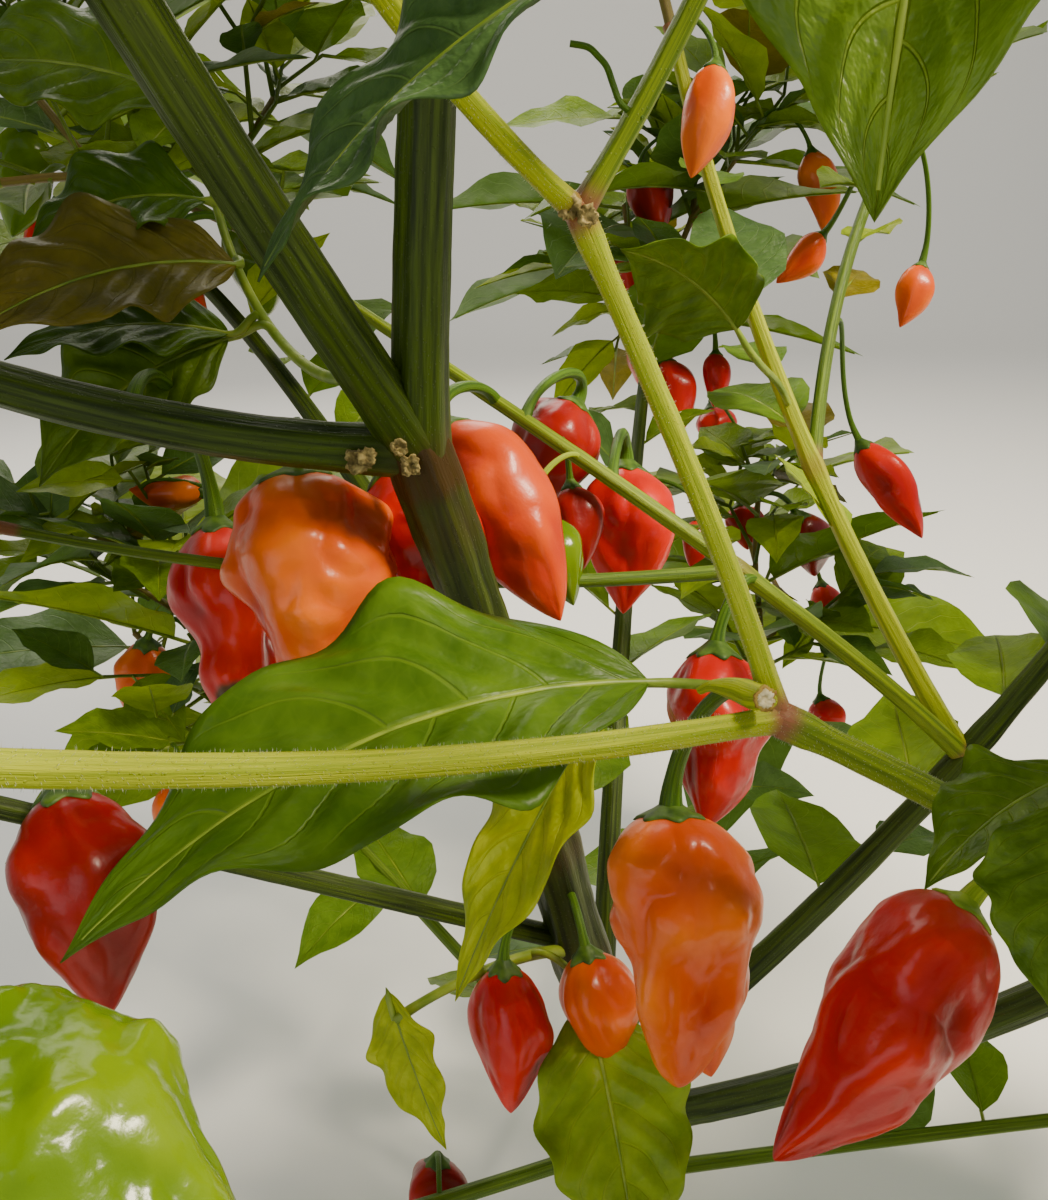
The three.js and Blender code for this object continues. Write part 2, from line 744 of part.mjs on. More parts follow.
Object.entries(SPRAYS).forEach(([name, spray]) => {
  const start = along(limbPaths[spray.from], spray.at);
  const twigPath = spray.twig ? walk(start, spray.twig) : [start, start];
  keepout.addPath(twigPath, () => LIMB_ROOM, name);
  spray.leaves.forEach((leaf) => {
    const base = along(twigPath, leaf.at ?? 0).add(v3(leaf.reach));
    keepout.addPath(walk(base, leaf, BLADE_STEPS), () => leaf.width * 0.4 + LIMB_ROOM * 0.5, name);
  });
});

const dip = radians(FRONT_GAP.dip);
const gapEye = v3(FRONT_GAP.eye);
const gapAhead = v3([0, Math.cos(dip), -Math.sin(dip)]);
const gapUp = v3([0, Math.sin(dip), Math.cos(dip)]);

function inFrontGap(point) {
  const from = point.clone().sub(gapEye);
  if (from.length() < FRONT_GAP.room) {
    return true;
  }
  const depth = from.dot(gapAhead);
  if (depth < 0 || depth > FRONT_GAP.depth) {
    return false;
  }
  const aside = Math.abs(from.x) < depth * Math.tan(radians(FRONT_GAP.halfWidth));
  return aside && Math.abs(from.dot(gapUp)) < depth * Math.tan(radians(FRONT_GAP.halfHeight));
}

function inCrown(point) {
  const share = v3(CROWN.centre).sub(point).divide(v3(CROWN.half));
  return point.z > LOWEST_LEAF && share.length() < 1;
}

function inCell(point, name) {
  const own = point.distanceTo(hearts[name]);
  return Object.entries(hearts).every(([other, heart]) => (
    other === name || point.distanceTo(heart) - own > 2 * CELL_MARGIN
  ));
}

function isFree(points, name, owner = name) {
  return points.every((point) => (
    inCrown(point) && !inFrontGap(point) && inCell(point, name) && !keepout.hits(point, owner)
  ));
}

// Grows one mass by forking shoots. One shoot of a fork carries its line on and the other starts
// a new line. Leaves and now and then a pod sit along them. A leaf that would leave the mass's own
// space or touch a limb tries other sides, smaller each time, and is then skipped.
function growMass(name) {
  const mass = MASSES[name];
  const path = stemPaths[name] ?? limbPaths[mass.on];
  const stem = mass.stem ?? LIMBS[mass.on];
  const owner = mass.stem ? name : mass.on;
  const grown = { lines: [], leaves: [], pods: [] };
  const taken = new Keepout(KEEPOUT_BOX);

  function leafAt(node, ahead, azimuth, rise, length, droop) {
    const outward = heading(azimuth, rise);
    const first = outward.multiplyScalar(0.95).addScaledVector(ahead, 0.5).normalize();
    const middle = node.clone().addScaledVector(first, length * 0.45);
    const tip = node.clone().addScaledVector(first, length * 0.94).addScaledVector(UP, -length * droop);
    const side = first.clone().cross(UP).normalize().multiplyScalar(length * LEAF.width * 0.5);
    const samples = [tip];
    [-1, -0.5, 0, 0.5, 1].forEach((across) => {
      samples.push(middle.clone().addScaledVector(side, across));
      samples.push(middle.clone().lerp(tip, 0.5).addScaledVector(side, across * 0.6));
      samples.push(middle.clone().lerp(node, 0.5).addScaledVector(side, across * 0.6));
    });
    const crowded = samples.some((sample) => taken.hits(sample));
    if (crowded || !isFree(samples, name, owner)) {
      return null;
    }
    return { path: [node, middle, tip], width: length * LEAF.width };
  }

  function addLeaf(node, ahead, azimuth, id) {
    const chance = chanceFrom(mass.seed, id, CHANCE_OF.leaf);
    const length = chance(LEAF.shortest, LEAF.longest);
    const rise = chance(...LEAF.rise);
    const droop = chance(...LEAF.droop);
    const roll = chance(...LEAF.roll);
    for (let turn = 0; turn < LEAF.tries; turn += 1) {
      const shorter = length * (1 - LEAF.shrink * turn);
      const leaf = leafAt(node, ahead, azimuth + turn * LEAF.turn, rise, shorter, droop);
      if (leaf) {
        const [base, middle, tip] = leaf.path;
        const line = [base.clone().lerp(middle, 0.5), middle, middle.clone().lerp(tip, 0.7)];
        taken.addPath(line, () => leaf.width * LEAF.room);
        grown.leaves.push({ ...leaf, roll });
        return;
      }
    }
  }

  function addPod(node, azimuth, id) {
    const chance = chanceFrom(mass.seed, id, CHANCE_OF.pod);
    const wanted = chance(0, 1) < POD.chance;
    const width = chance(POD.slimmest, POD.widest);
    const length = chance(POD.shortest, POD.longest);
    const reach = heading(azimuth, 0).multiplyScalar(chance(...POD.reach));
    reach.addScaledVector(UP, chance(...POD.drop));
    const hang = heading(azimuth, chance(...POD.hang));
    const top = node.clone().add(reach);
    const tip = top.clone().addScaledVector(hang, length);
    const middle = top.clone().lerp(tip, 0.4);
    const side = v3([hang.y, -hang.x, 0]).normalize().multiplyScalar(width * 0.5);
    const across = side.clone().cross(hang);
    const samples = [
      top, tip, middle, middle.clone().add(side), middle.clone().sub(side),
      middle.clone().add(across), middle.clone().sub(across),
    ];
    const crowded = samples.some((sample) => taken.hits(sample));
    if (!wanted || crowded || !isFree(samples, name, owner)) {
      return;
    }
    taken.addPath([node, top, tip], () => width * 0.5 + 3);
    grown.pods.push({ node, reach, hang, width, length });
  }

  function addShoot(line, ahead, length, order, id) {
    const chance = chanceFrom(mass.seed, id, CHANCE_OF.shoot);
    const { point, radius } = line[line.length - 1];
    const end = point.clone().addScaledVector(ahead, length * chance(...SHOOT.uneven));
    const azimuth = chance(0, 360);
    const plane = chance(0, 180);
    if (order > 0 && !isFree([point.clone().lerp(end, 0.6), end], name, owner)) {
      return;
    }
    line.push({ point: end, radius: Math.max(radius * SHOOT.thinner, SHOOT.thinnest) });
    addPod(point.clone().lerp(end, 0.9), azimuth + POD.aside, id);
    const leaves = LEAVES_ON_SHOOT[order];
    for (let leaf = 0; leaf < leaves; leaf += 1) {
      const share = 0.96 - leaf * 0.26;
      addLeaf(point.clone().lerp(end, share), ahead, azimuth + leaf * GOLDEN_ANGLE, id * 8 + leaf);
    }
    if (order === SHOOT.orders - 1) {
      return;
    }
    const side = ahead.clone().cross(UP).normalize().applyAxisAngle(ahead, radians(plane));
    [-1, 1].forEach((turn, branch) => {
      const spread = turn * SHOOT.spread * chance(...SHOOT.fork);
      const fork = ahead.clone().applyAxisAngle(side, radians(spread));
      fork.addScaledVector(UP, SHOOT.upward).normalize();
      let next = line;
      if (branch === 1) {
        const thin = Math.max(line[1].radius * 0.8, SHOOT.thinnest);
        next = [{ point: end, radius: Math.min(thin, radius * 0.8) }];
        grown.lines.push(next);
      }
      addShoot(next, fork, length * SHOOT.shorter, order + 1, id * 2 + branch);
    });
  }

  const ahead = endHeading(path);
  const start = mass.stem ? along(path, 1) : along(path, 1).addScaledVector(ahead, CLEARANCE);
  const first = [{ point: start, radius: (stem.tip / 2) * 0.92 }];
  grown.lines.push(first);
  addShoot(first, ahead, SHOOT.length, 0, 1);
  grown.lines = grown.lines.filter((line) => line.length > 1);
  return grown;
}

function massSolid(name, grown) {
  const mass = MASSES[name];
  const pieces = [];
  grown.lines.forEach((line, index) => {
    const points = line.map(({ point }) => point);
    const radii = line.map(({ radius }) => radius);
    if (index === 0 && mass.stem) {
      points.unshift(...stemPaths[name].filter((point, step) => step % 3 === 0 && step < PATH_STEPS));
      const { base, tip } = mass.stem;
      radii.unshift(...[0, 0.25, 0.5, 0.75].map((share) => (base + (tip - base) * share) / 2));
    }
    const radiusAt = (share) => radii[Math.round(share * (radii.length - 1))];
    pieces.push(taperedTube(points, radiusAt, index === 0 ? SIDES.stem : SIDES.twig));
  });
  grown.leaves.forEach(({ path, width, roll }) => {
    pieces.push(bladeSolid(path, width, roll));
  });
  grown.pods.forEach(({ node, reach, hang, width, length }) => {
    const top = node.clone().add(reach);
    const stalk = [node, top.clone().addScaledVector(hang, 4)];
    pieces.push(taperedTube(stalk, () => POD.stalk / 2, SIDES.twig));
    pieces.push(turnedPod(top, hang, { width, length }, SIDES.smallPod, SMALL_POD_RINGS));
  });
  return wasm.Manifold.union(pieces);
}

// Of a solid that a neighbour cuts in two, the largest piece is kept.
function largest(solid) {
  const bodies = solid.decompose();
  return bodies.reduce((best, body) => (body.volume() > best.volume() ? body : best), bodies[0]);
}

// The solid's surface with its corners set on a fine grid, and without the slivers that join
// corners of one place.
function cleanGeometry(solid) {
  const { vertProperties, triVerts } = solid.getMesh();
  const snapped = vertProperties.map((value) => Math.round(value / GRID) * GRID);
  const geometry = new THREE.BufferGeometry();
  geometry.setAttribute("position", new THREE.BufferAttribute(snapped, 3));
  geometry.setIndex(new THREE.BufferAttribute(triVerts, 1));
  const merged = mergeVertices(geometry, GRID / 10);
  const faces = merged.index.array;
  const kept = [];
  for (let first = 0; first < faces.length; first += 3) {
    const [a, b, c] = faces.slice(first, first + 3);
    if (a !== b && b !== c && c !== a) {
      kept.push(a, b, c);
    }
  }
  merged.setIndex(kept);
  return merged;
}

const plant = new THREE.Group();
const placed = [];

function touching(boxA, boxB) {
  return [0, 1, 2].every((axis) => boxA.min[axis] <= boxB.max[axis] && boxB.min[axis] <= boxA.max[axis]);
}

// Adds a piece to the plant, cut 0.3 mm clear of every piece that is already there.
function place(name, solid, grownSolid, colour, roughness) {
  let fitted = solid;
  placed.forEach((other) => {
    if (touching(fitted.boundingBox(), other.boundingBox())) {
      fitted = fitted.subtract(other);
    }
  });
  placed.push(grownSolid);
  const geometry = cleanGeometry(largest(fitted));
  const material = new THREE.MeshStandardMaterial({ color: COLOURS[colour], roughness, metalness: 0 });
  const mesh = new THREE.Mesh(geometry, material);
  mesh.name = name;
  plant.add(mesh);
}

Object.entries(LIMBS).forEach(([name, limb]) => {
  if (name === "trunk") {
    const grownTrunk = trunkTube(limbPaths.trunk, limb, CLEARANCE);
    place(name, trunkTube(limbPaths.trunk, limb), grownTrunk, "wood", 0.7);
    return;
  }
  const solid = limbTube(limbPaths[name], limb, SIDES.bough);
  place(name, solid, limbTube(limbPaths[name], limb, SIDES.bough, CLEARANCE), "greenStem", 0.6);
});
Object.entries(PODS).forEach(([name, pod]) => {
  const start = along(limbPaths[pod.from], pod.at);
  place(name, podSolid(start, pod), podSolid(start, pod, CLEARANCE), pod.colour, 0.3);
});
Object.entries(SPRAYS).forEach(([name, spray]) => {
  const start = along(limbPaths[spray.from], spray.at);
  place(name, spraySolid(spray, start), spraySolid(spray, start, CLEARANCE), spray.colour, 0.55);
});
Object.keys(MASSES).forEach((name) => {
  const solid = massSolid(name, growMass(name));
  const stem = MASSES[name].stem;
  const grownStem = stem ? limbTube(stemPaths[name], stem, SIDES.stem, CLEARANCE) : solid;
  place(name, solid, grownStem, "leaf", 0.6);
});

export default plant;
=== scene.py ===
import json
import math

import bmesh
import bpy
import numpy as np
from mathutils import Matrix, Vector, noise

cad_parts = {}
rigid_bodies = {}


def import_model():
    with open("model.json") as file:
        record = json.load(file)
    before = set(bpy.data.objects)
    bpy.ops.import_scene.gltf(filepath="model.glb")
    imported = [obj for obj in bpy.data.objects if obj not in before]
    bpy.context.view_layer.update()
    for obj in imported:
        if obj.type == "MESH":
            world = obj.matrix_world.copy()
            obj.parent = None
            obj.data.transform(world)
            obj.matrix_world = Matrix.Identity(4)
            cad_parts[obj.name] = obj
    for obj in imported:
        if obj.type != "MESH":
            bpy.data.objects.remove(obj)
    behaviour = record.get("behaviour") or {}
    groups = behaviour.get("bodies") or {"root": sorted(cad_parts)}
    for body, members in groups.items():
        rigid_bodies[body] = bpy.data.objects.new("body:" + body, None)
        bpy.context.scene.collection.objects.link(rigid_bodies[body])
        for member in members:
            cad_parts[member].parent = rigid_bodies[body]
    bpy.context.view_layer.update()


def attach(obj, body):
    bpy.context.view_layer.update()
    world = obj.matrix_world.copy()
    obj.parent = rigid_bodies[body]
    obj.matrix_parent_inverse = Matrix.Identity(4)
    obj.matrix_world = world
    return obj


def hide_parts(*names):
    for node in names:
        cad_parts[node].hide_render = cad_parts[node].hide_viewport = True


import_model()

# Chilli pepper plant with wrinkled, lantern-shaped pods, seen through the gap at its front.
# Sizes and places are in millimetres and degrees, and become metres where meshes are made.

MM = 0.001
FULL_TURN = 2 * math.pi

# Driving sizes of the plant, the same as those its solids were made with.
CLEARANCE = 0.3
CROWN = dict(centre=(-20, 0, 372), half=(400, 370, 340))
LOWEST_LEAF = 16
FRONT_GAP = dict(eye=(-44, -278, 378), dip=22, half_width=28, half_height=31, depth=335, room=70)
ROOT_FLARE = dict(height=13, spread=0.8, buttress=0.12, buttresses=5)
LEAF = dict(
    shortest=104, longest=138, width=0.52, room=0.3, outward=0.95, forward=0.5, middle=0.45,
    reach=0.94, rise=(-32, 22), droop=(0.1, 0.32), roll=(-24, 24), tries=7, turn=73, shrink=0.08,
)
POD = dict(
    shortest=38, longest=54, slimmest=23, widest=31, chance=0.42,
    reach=(17, 24), drop=(-12, -4), hang=(-84, -66), aside=70, stalk=3,
)
POD_FORM = dict(shoulder=0.7, fullness=0.8, waist_at=0.55, waist_length=0.13, lobes=3, lobe=0.09)
STALK = dict(thickness=3.8, horn=0.42, outward=0.25, upward=0.32, ending=0.4, leaf_stalk=2.2)
SHOOT = dict(
    length=48, shorter=0.84, thinner=0.74, thinnest=1.5, spread=34, orders=3, heart=88,
    uneven=(0.9, 1.1), fork=(0.8, 1.25), upward=0.08, first=0.92, side=0.8,
)
LEAVES_ON_SHOOT = (2, 2, 3)
LEAF_NODES = dict(first=0.96, apart=0.26)
CHANCE_OF = dict(
    shoot=1, pod=3, leaf=7, tone=11, fine=21, fine_leaf=22, bough_leaf=23, cap=41, colour=61,
)
CELL_MARGIN = 1.2
LIMB_ROOM = 7
KEEPOUT_BOX = 40
KEEPOUT_STEP = 8
GOLDEN_ANGLE = 137.5
PATH_STEPS = 12
BLADE_STEPS = 3
STALK_STEPS = 3

# What the finer growth adds between the solids' twigs: short side shoots with smaller leaves.
FINE = dict(
    length=(20, 34), shortest=38, longest=78, sides=4, orders=2, leaves=3, rise=(-20, 35),
    room=0.2, inset=26, base=1.1, tip=0.7, every=20, first=0.26, above=16, fork_rise=(-10, 50),
    outward=0.8, forward=0.7, apart=0.24, palest=0.25,
)

# How a limb, twig or leaf runs: its first heading in degrees, how far the heading turns and lifts
# along it, and its length.
WAY = ("bearing", "rise", "turn", "lift", "length")
LIMB = ("parent", "at", *WAY, "base", "tip")


def table(columns, rows):
    """A dict of dicts by name, from rows under named columns. None stands for nothing there."""
    return {
        name: {key: value for key, value in zip(columns, values) if value is not None}
        for name, *values in rows
    }


LIMBS = table((*LIMB, "skin"), [
    ("trunk", None, None, 202, 82, 23, -13, 332, 20, 14, "bark"),
    ("bough_upright", "trunk", 1, 284, 76, 29, 2, 215, 12.5, 7, "old"),
    ("bough_upper_left", "trunk", 1, 229, 53, 12, 3, 246, 12, 7, "old"),
    ("bough_left", "trunk", 1, 190, 4, -6, 35, 206, 11, 7, "old"),
    ("bough_low_left", "trunk", 0.48, 198, 28, 13, 6, 256, 7, 4.6, "old"),
    ("bough_right", "trunk", 0.22, 321, 40, 20, 20, 364, 11, 6, "old"),
    ("bough_front", "bough_right", 0.56, 185, 33, -5, -6, 115, 7.5, 6, "green"),
    ("bough_front_left", "bough_front", 1, 210, 7, 33, 33, 253, 5.2, 3.8, "young"),
    ("bough_front_up", "bough_front", 1, 134, 65, 54, -1, 107, 5, 4.4, "young"),
    ("bough_front_up_left", "bough_front_up", 1, 225, 30, 22, 19, 154, 4.2, 3.2, "young"),
    ("bough_front_up_right", "bough_front_up", 1, 2, 58, -8, 19, 140, 4.2, 3.2, "green"),
    ("bough_back_right", "trunk", 0.27, 2, 46, 32, 4, 339, 10, 6, "old"),
    ("bough_middle_right", "bough_back_right", 0.48, 143, 51, -4, 19, 247, 6.8, 4, "young"),
    ("bough_middle", "bough_back_right", 0.48, 191, 44, -50, -23, 260, 6, 3.4, "green"),
    ("bough_back", "trunk", 0.35, 84, 52, -4, -21, 283, 8, 5, "old"),
    ("bough_back_left", "trunk", 0.62, 126, 45, 8, -22, 270, 8, 5, "old"),
])

# Masses of foliage: the first ones grow on from a bough's end, the others have a stem of their own.
MASSES = table(("on", "seed"), [
    ("foliage_left", "bough_left", 11),
    ("foliage_upper_left", "bough_upper_left", 12),
    ("foliage_top", "bough_upright", 13),
    ("foliage_low_left", "bough_low_left", 14),
    ("foliage_right", "bough_right", 15),
    ("foliage_front_left", "bough_front_left", 16),
    ("foliage_upper_front", "bough_front_up_left", 17),
    ("foliage_upper_right", "bough_front_up_right", 18),
    ("foliage_back_right", "bough_back_right", 19),
    ("foliage_upper_back", "bough_middle_right", 20),
    ("foliage_middle", "bough_middle", 21),
    ("foliage_back", "bough_back", 22),
    ("foliage_back_left", "bough_back_left", 23),
])
MASS_STEMS = table((*LIMB, "seed"), [
    ("foliage_fork_right", "bough_middle_right", 0.42, 79, 60, -49, -16, 174, 4.6, 3.2, 24),
    ("foliage_cross", "bough_middle", 0.385, 188, -3, 20, 25, 197, 4.6, 2.6, 25),
    ("foliage_middle_right", "bough_right", 0.5, 338, 12, -6, 10, 150, 5, 3.6, 32),
    ("foliage_low_back", "trunk", 0.3, 62, 8, 8, 14, 190, 6, 4, 26),
    ("foliage_low_back_left", "trunk", 0.2, 136, 20, 6, 6, 185, 6, 4, 27),
    ("foliage_low_right", "trunk", 0.13, 350, 22, -6, 4, 180, 6, 4, 28),
    ("foliage_low_front", "trunk", 0.15, 262, 16, 6, 14, 215, 6, 4, 29),
    ("foliage_low_front_right", "trunk", 0.09, 306, 24, 4, 8, 235, 6, 4, 30),
    ("foliage_low_front_left", "trunk", 0.18, 215, 18, 4, 8, 215, 6, 4, 31),
])
for mass_name, stem in MASS_STEMS.items():
    MASSES[mass_name] = dict(stem=stem, seed=stem["seed"])

# Pods that the photograph shows. A stalk reaches from its limb to the pod's top, and the pod hangs
# along its bearing and rise.
PODS = table(("parent", "at", "reach", "hang", "length", "width", "colour", "waist", "form"), [
    ("pod_orange_wrinkled", "bough_left", 0.13, (-4, 19, -12), (281, -67), 53, 38, "orange", 0,
     dict(fullness=0.55)),
    ("pod_red_waisted", "bough_left", 0.3, (0, 51, -40), (287, -62), 61, 30, "red", 0.3),
    ("pod_red_behind_fork", "trunk", 0.97, (-14, 35, -4), (321, -57), 50, 30, "red"),
    ("pod_slanting", "bough_middle", 0.72, (-13, -28, -1), (317, -47), 62, 30, "orange"),
    ("pod_dark_red", "bough_middle", 0.68, (17, 43, -4), (223, -49), 40, 30, "darkRed"),
    ("pod_small_lime", "bough_middle", 0.6, (-14, -13, -13), (321, -59), 28, 16, "lime"),
    ("pod_red_middle", "bough_middle", 0.56, (8, 40, -6), (267, -67), 49, 30, "red"),
    ("pod_red_under_node", "bough_middle", 0.36, (-13, -15, -14), (261, -68), 52, 30, "red", 0.2),
    ("pod_two_horned", "bough_front", 1, (-17, 23, -38), (272, -63), 63, 34, "orange", 0.12,
     dict(shoulder=0.6, fullness=0.6)),
    ("pod_orange_behind", "trunk", 0.555, (6, -22, -6), (298, -65), 34, 22, "orange"),
    ("pod_large_red", "bough_front", 0.15, (-47, -17, 12), (213, -39), 63, 29, "red", 0,
     dict(shoulder=0.56, fullness=0.7)),
    ("pod_low_red", "trunk", 0.575, (-16, -27, -12), (278, -68), 41, 22, "red"),
    ("pod_left_dark", "bough_low_left", 0.64, (9, -4, 10), (297, -56), 52, 30, "darkRed"),
    ("pod_near_lime", "bough_front_left", 0.62, (-18, 0, -40), (337, -20), 60, 35, "lime"),
])

# Single leaves and sprays that the photograph shows, each with the limb it grows from and the twig
# that it may have. A leaf sits at a share of the twig's length.
DEEP, MID, BLUE, YOUNG, BRONZE, SUNLIT = range(6)
SPRAYS = table(("parent", "at", "twig"), [
    ("leaf_large", "bough_front", 1),
    ("leaf_near", "bough_front_up_left", 0.55),
    ("leaf_centre_right", "bough_middle_right", 0.5),
    ("leaf_sunlit", "trunk", 0.8),
    ("spray_left", "bough_upper_left", 0.1, (123, -23, 19, 122, 101, 3, 1.8)),
    ("spray_right_edge", "bough_front", 0.42, (296, 44, 4, -8, 44, 3, 2)),
    ("spray_low", "trunk", 0.46, (236, 50, -41, -82, 74, 4, 2.5)),
    ("spray_top_right", "bough_front_up_right", 0.45, (276, 6, -13, -19, 98, 3, 2)),
])
SPRAY_LEAVES = [
    ("leaf_large", 0, (-26, 5, 6), 198, 14, 12, -58, 127, 60, -15, DEEP),
    ("leaf_near", 0, (41, -31, -22), 165, -19, -1, -38, 53, 24, -37, BLUE),
    ("leaf_centre_right", 0, (-24, -26, 28), 189, 57, 6, -50, 43, 40, -128, MID),
    ("leaf_sunlit", 0, (27, -12, -2), 218, -46, -2, -20, 84, 30, 0, SUNLIT),
    ("spray_left", 1, (-2, -2, 2), 182, 28, 4, -44, 60, 38, -44, MID),
    ("spray_left", 0.8, (-2, -1, 1), 199, 17, 4, -64, 45, 30, -39, DEEP),
    ("spray_left", 0.66, (2, -6, 0), 220, 12, 6, -46, 68, 34, -40, BRONZE),
    ("spray_left", 0.5, (-9, 2, -4), 190, 18, 4, -46, 53, 28, -28, DEEP),
    ("spray_left", 0.44, (-13, 7, -2), 201, -9, 4, -50, 59, 36, -47, MID),
    ("spray_right_edge", 0.6, (-14, -4, 14), 204, 10, 6, -56, 43, 26, 7, MID),
    ("spray_right_edge", 0.85, (-32, -13, 11), 255, -28, 4, -40, 37, 28, -4, MID),
    ("spray_low", 1, (-2, 3, 7), 310, -65, 4, 14, 46, 22, 64, SUNLIT),
    ("spray_low", 0.4, (16, -11, -6), 284, -27, 4, -44, 75, 42, 5, YOUNG),
    ("spray_top_right", 1, (-3, -6, -6), 242, -31, 8, -50, 50, 34, -2, MID),
    ("spray_top_right", 0.7, (9, -4, 5), 340, 16, 6, -50, 66, 36, 0, MID),
]
for spray in SPRAYS.values():
    spray["leaves"] = []
    if "twig" in spray:
        spray["twig"] = dict(zip((*WAY, "base", "tip"), spray["twig"]))
for spray_name, *values in SPRAY_LEAVES:
    leaf = dict(zip(("at", "reach", *WAY, "width", "roll", "tone"), values))
    SPRAYS[spray_name]["leaves"].append(leaf)

# Small pods among the leaves: top in millimetres, the way each one hangs, length, width and colour.
HUNG_PODS = [
    ((-177, 145, 256), (179, 1), 32, 14, "orange"),
    ((-179, 78, 154), (218, -57), 20, 17, "orange"),
    ((14, 78, 409), (240, -65), 35, 16, "orange"),
    ((83, 227, 388), (294, -66), 38, 16, "orange"),
    ((64, 124, 358), (201, -42), 24, 12, "orange"),
    ((100, 120, 348), (227, -61), 24, 12, "orange"),
    ((19, 200, 301), (304, -64), 33, 20, "red"),
    ((41, 195, 305), (264, -68), 24, 13, "red"),
    ((56, 282, 263), (299, -65), 26, 21, "red"),
    ((78, 96, 288), (330, -51), 41, 16, "red"),
    ((114, 243, 177), (297, -66), 39, 18, "red"),
    ((103, 186, 138), (306, -63), 23, 18, "red"),
    ((12, 269, 381), (308, -63), 34, 21, "red"),
    ((1, 229, 346), (298, -65), 28, 18, "red"),
    ((-72, -32, 84), (259, -68), 26, 19, "darkRed"),
    ((-30, 27, 292), (290, -67), 26, 14, "darkRed"),
    ((69, 251, 218), (296, -66), 24, 19, "red"),
    ((27, 127, 249), (240, -65), 19, 14, "red"),
]

ORIGIN = (0.0, 0.0, 0.0)
UP = (0.0, 0.0, 1.0)


def plus(a, b, share=1.0):
    return (a[0] + b[0] * share, a[1] + b[1] * share, a[2] + b[2] * share)


def minus(a, b):
    return (a[0] - b[0], a[1] - b[1], a[2] - b[2])


def scaled(a, share):
    return (a[0] * share, a[1] * share, a[2] * share)


def mix(a, b, share):
    return plus(a, minus(b, a), share)


def weighed(weights, points):
    """The point that is the sum of a few points, each by its weight."""
    place = ORIGIN
    for weight, point in zip(weights, points):
        place = plus(place, point, weight)
    return place


def dot(a, b):
    return a[0] * b[0] + a[1] * b[1] + a[2] * b[2]


def cross(a, b):
    return (a[1] * b[2] - a[2] * b[1], a[2] * b[0] - a[0] * b[2], a[0] * b[1] - a[1] * b[0])


def size(a):
    return math.sqrt(dot(a, a))


def unit(a):
    return scaled(a, 1 / size(a))


def turned(a, axis, degrees):
    """Vector a, turned round a unit axis."""
    angle = math.radians(degrees)
    kept = plus(scaled(a, math.cos(angle)), cross(axis, a), math.sin(angle))
    return plus(kept, axis, dot(axis, a) * (1 - math.cos(angle)))


def heading(bearing, rise):
    level = math.cos(math.radians(rise))
    return (
        math.cos(math.radians(bearing)) * level,
        math.sin(math.radians(bearing)) * level,
        math.sin(math.radians(rise)),
    )


def walk(start, way, steps=PATH_STEPS):
    """The path of a limb, twig or leaf, walked in equal straight steps."""
    points = [start]
    for step in range(steps):
        share = (step + 0.5) / steps
        ahead = heading(way["bearing"] + way["turn"] * share, way["rise"] + way["lift"] * share)
        points.append(plus(points[step], ahead, way["length"] / steps))
    return points


def along(points, share):
    place = share * (len(points) - 1)
    index = min(math.floor(place), len(points) - 2)
    return mix(points[index], points[index + 1], place - index)


def path_length(points):
    return sum(math.dist(a, b) for a, b in zip(points, points[1:]))


def end_heading(points):
    return unit(minus(points[-1], points[-2]))


def width_of(limb):
    """The even taper of a limb, from its foot at 0 to its end at 1."""
    return lambda share: limb["base"] + (limb["tip"] - limb["base"]) * share


def stalk_path(start, reach, ahead, steps):
    """A stalk bends out of its limb and ends along the way its pod or leaf points."""
    end = plus(start, reach)
    span = size(reach)
    level = unit((reach[0], reach[1], 0.0))
    outward = plus(scaled(level, STALK["outward"]), UP, STALK["upward"])
    turns = (start, plus(start, outward, span), plus(end, ahead, -STALK["ending"] * span), end)
    points = []
    for step in range(steps + 1):
        t = step / steps
        points.append(weighed(((1 - t) ** 3, 3 * t * (1 - t) ** 2, 3 * t * t * (1 - t), t ** 3), turns))
    return points


def chance_from(*keys):
    """Seeded chance: the same keys always give the same run of numbers."""
    state = 2166136261
    for key in keys:
        state = ((state ^ key) * 16777619) & 0xFFFFFFFF
        state = state ^ (state >> 13)

    def draw(low=0.0, high=1.0):
        nonlocal state
        state = (state * 1664525 + 1013904223) & 0xFFFFFFFF
        return low + (high - low) * state / 4294967296

    draw()
    draw()
    return draw


class Keepout:
    """Places that leaves and twigs stay out of, as balls kept in a grid of boxes."""

    def __init__(self):
        self.boxes = {}

    def add(self, centre, radius, owner="own"):
        low, high = (
            [math.floor((c + turn * radius) / KEEPOUT_BOX) for c in centre] for turn in (-1, 1)
        )
        for x in range(low[0], high[0] + 1):
            for y in range(low[1], high[1] + 1):
                for z in range(low[2], high[2] + 1):
                    self.boxes.setdefault((x, y, z), []).append((centre, radius, owner))

    def add_path(self, points, radius_at, owner="own"):
        for index in range(len(points) - 1):
            share = index / (len(points) - 1)
            pieces = math.ceil(math.dist(points[index], points[index + 1]) / KEEPOUT_STEP)
            for piece in range(pieces):
                centre = mix(points[index], points[index + 1], piece / pieces)
                self.add(centre, radius_at(share), owner)

    def hits(self, point, owner="none"):
        balls = self.boxes.get(tuple(math.floor(c / KEEPOUT_BOX) for c in point), ())
        return any(name != owner and math.dist(centre, point) < radius for centre, radius, name in balls)


# Limbs, and the stems that masses start with, all laid out before anything is grown.
limb_paths = {}


def foot_of(limb):
    """Where a limb, stalk or spray leaves the limb that carries it."""
    return along(limb_paths[limb["parent"]], limb["at"]) if "parent" in limb else ORIGIN


for limb_name, limb in LIMBS.items():
    limb_paths[limb_name] = walk(foot_of(limb), limb)
stem_paths = {name: walk(foot_of(stem), stem) for name, stem in MASS_STEMS.items()}

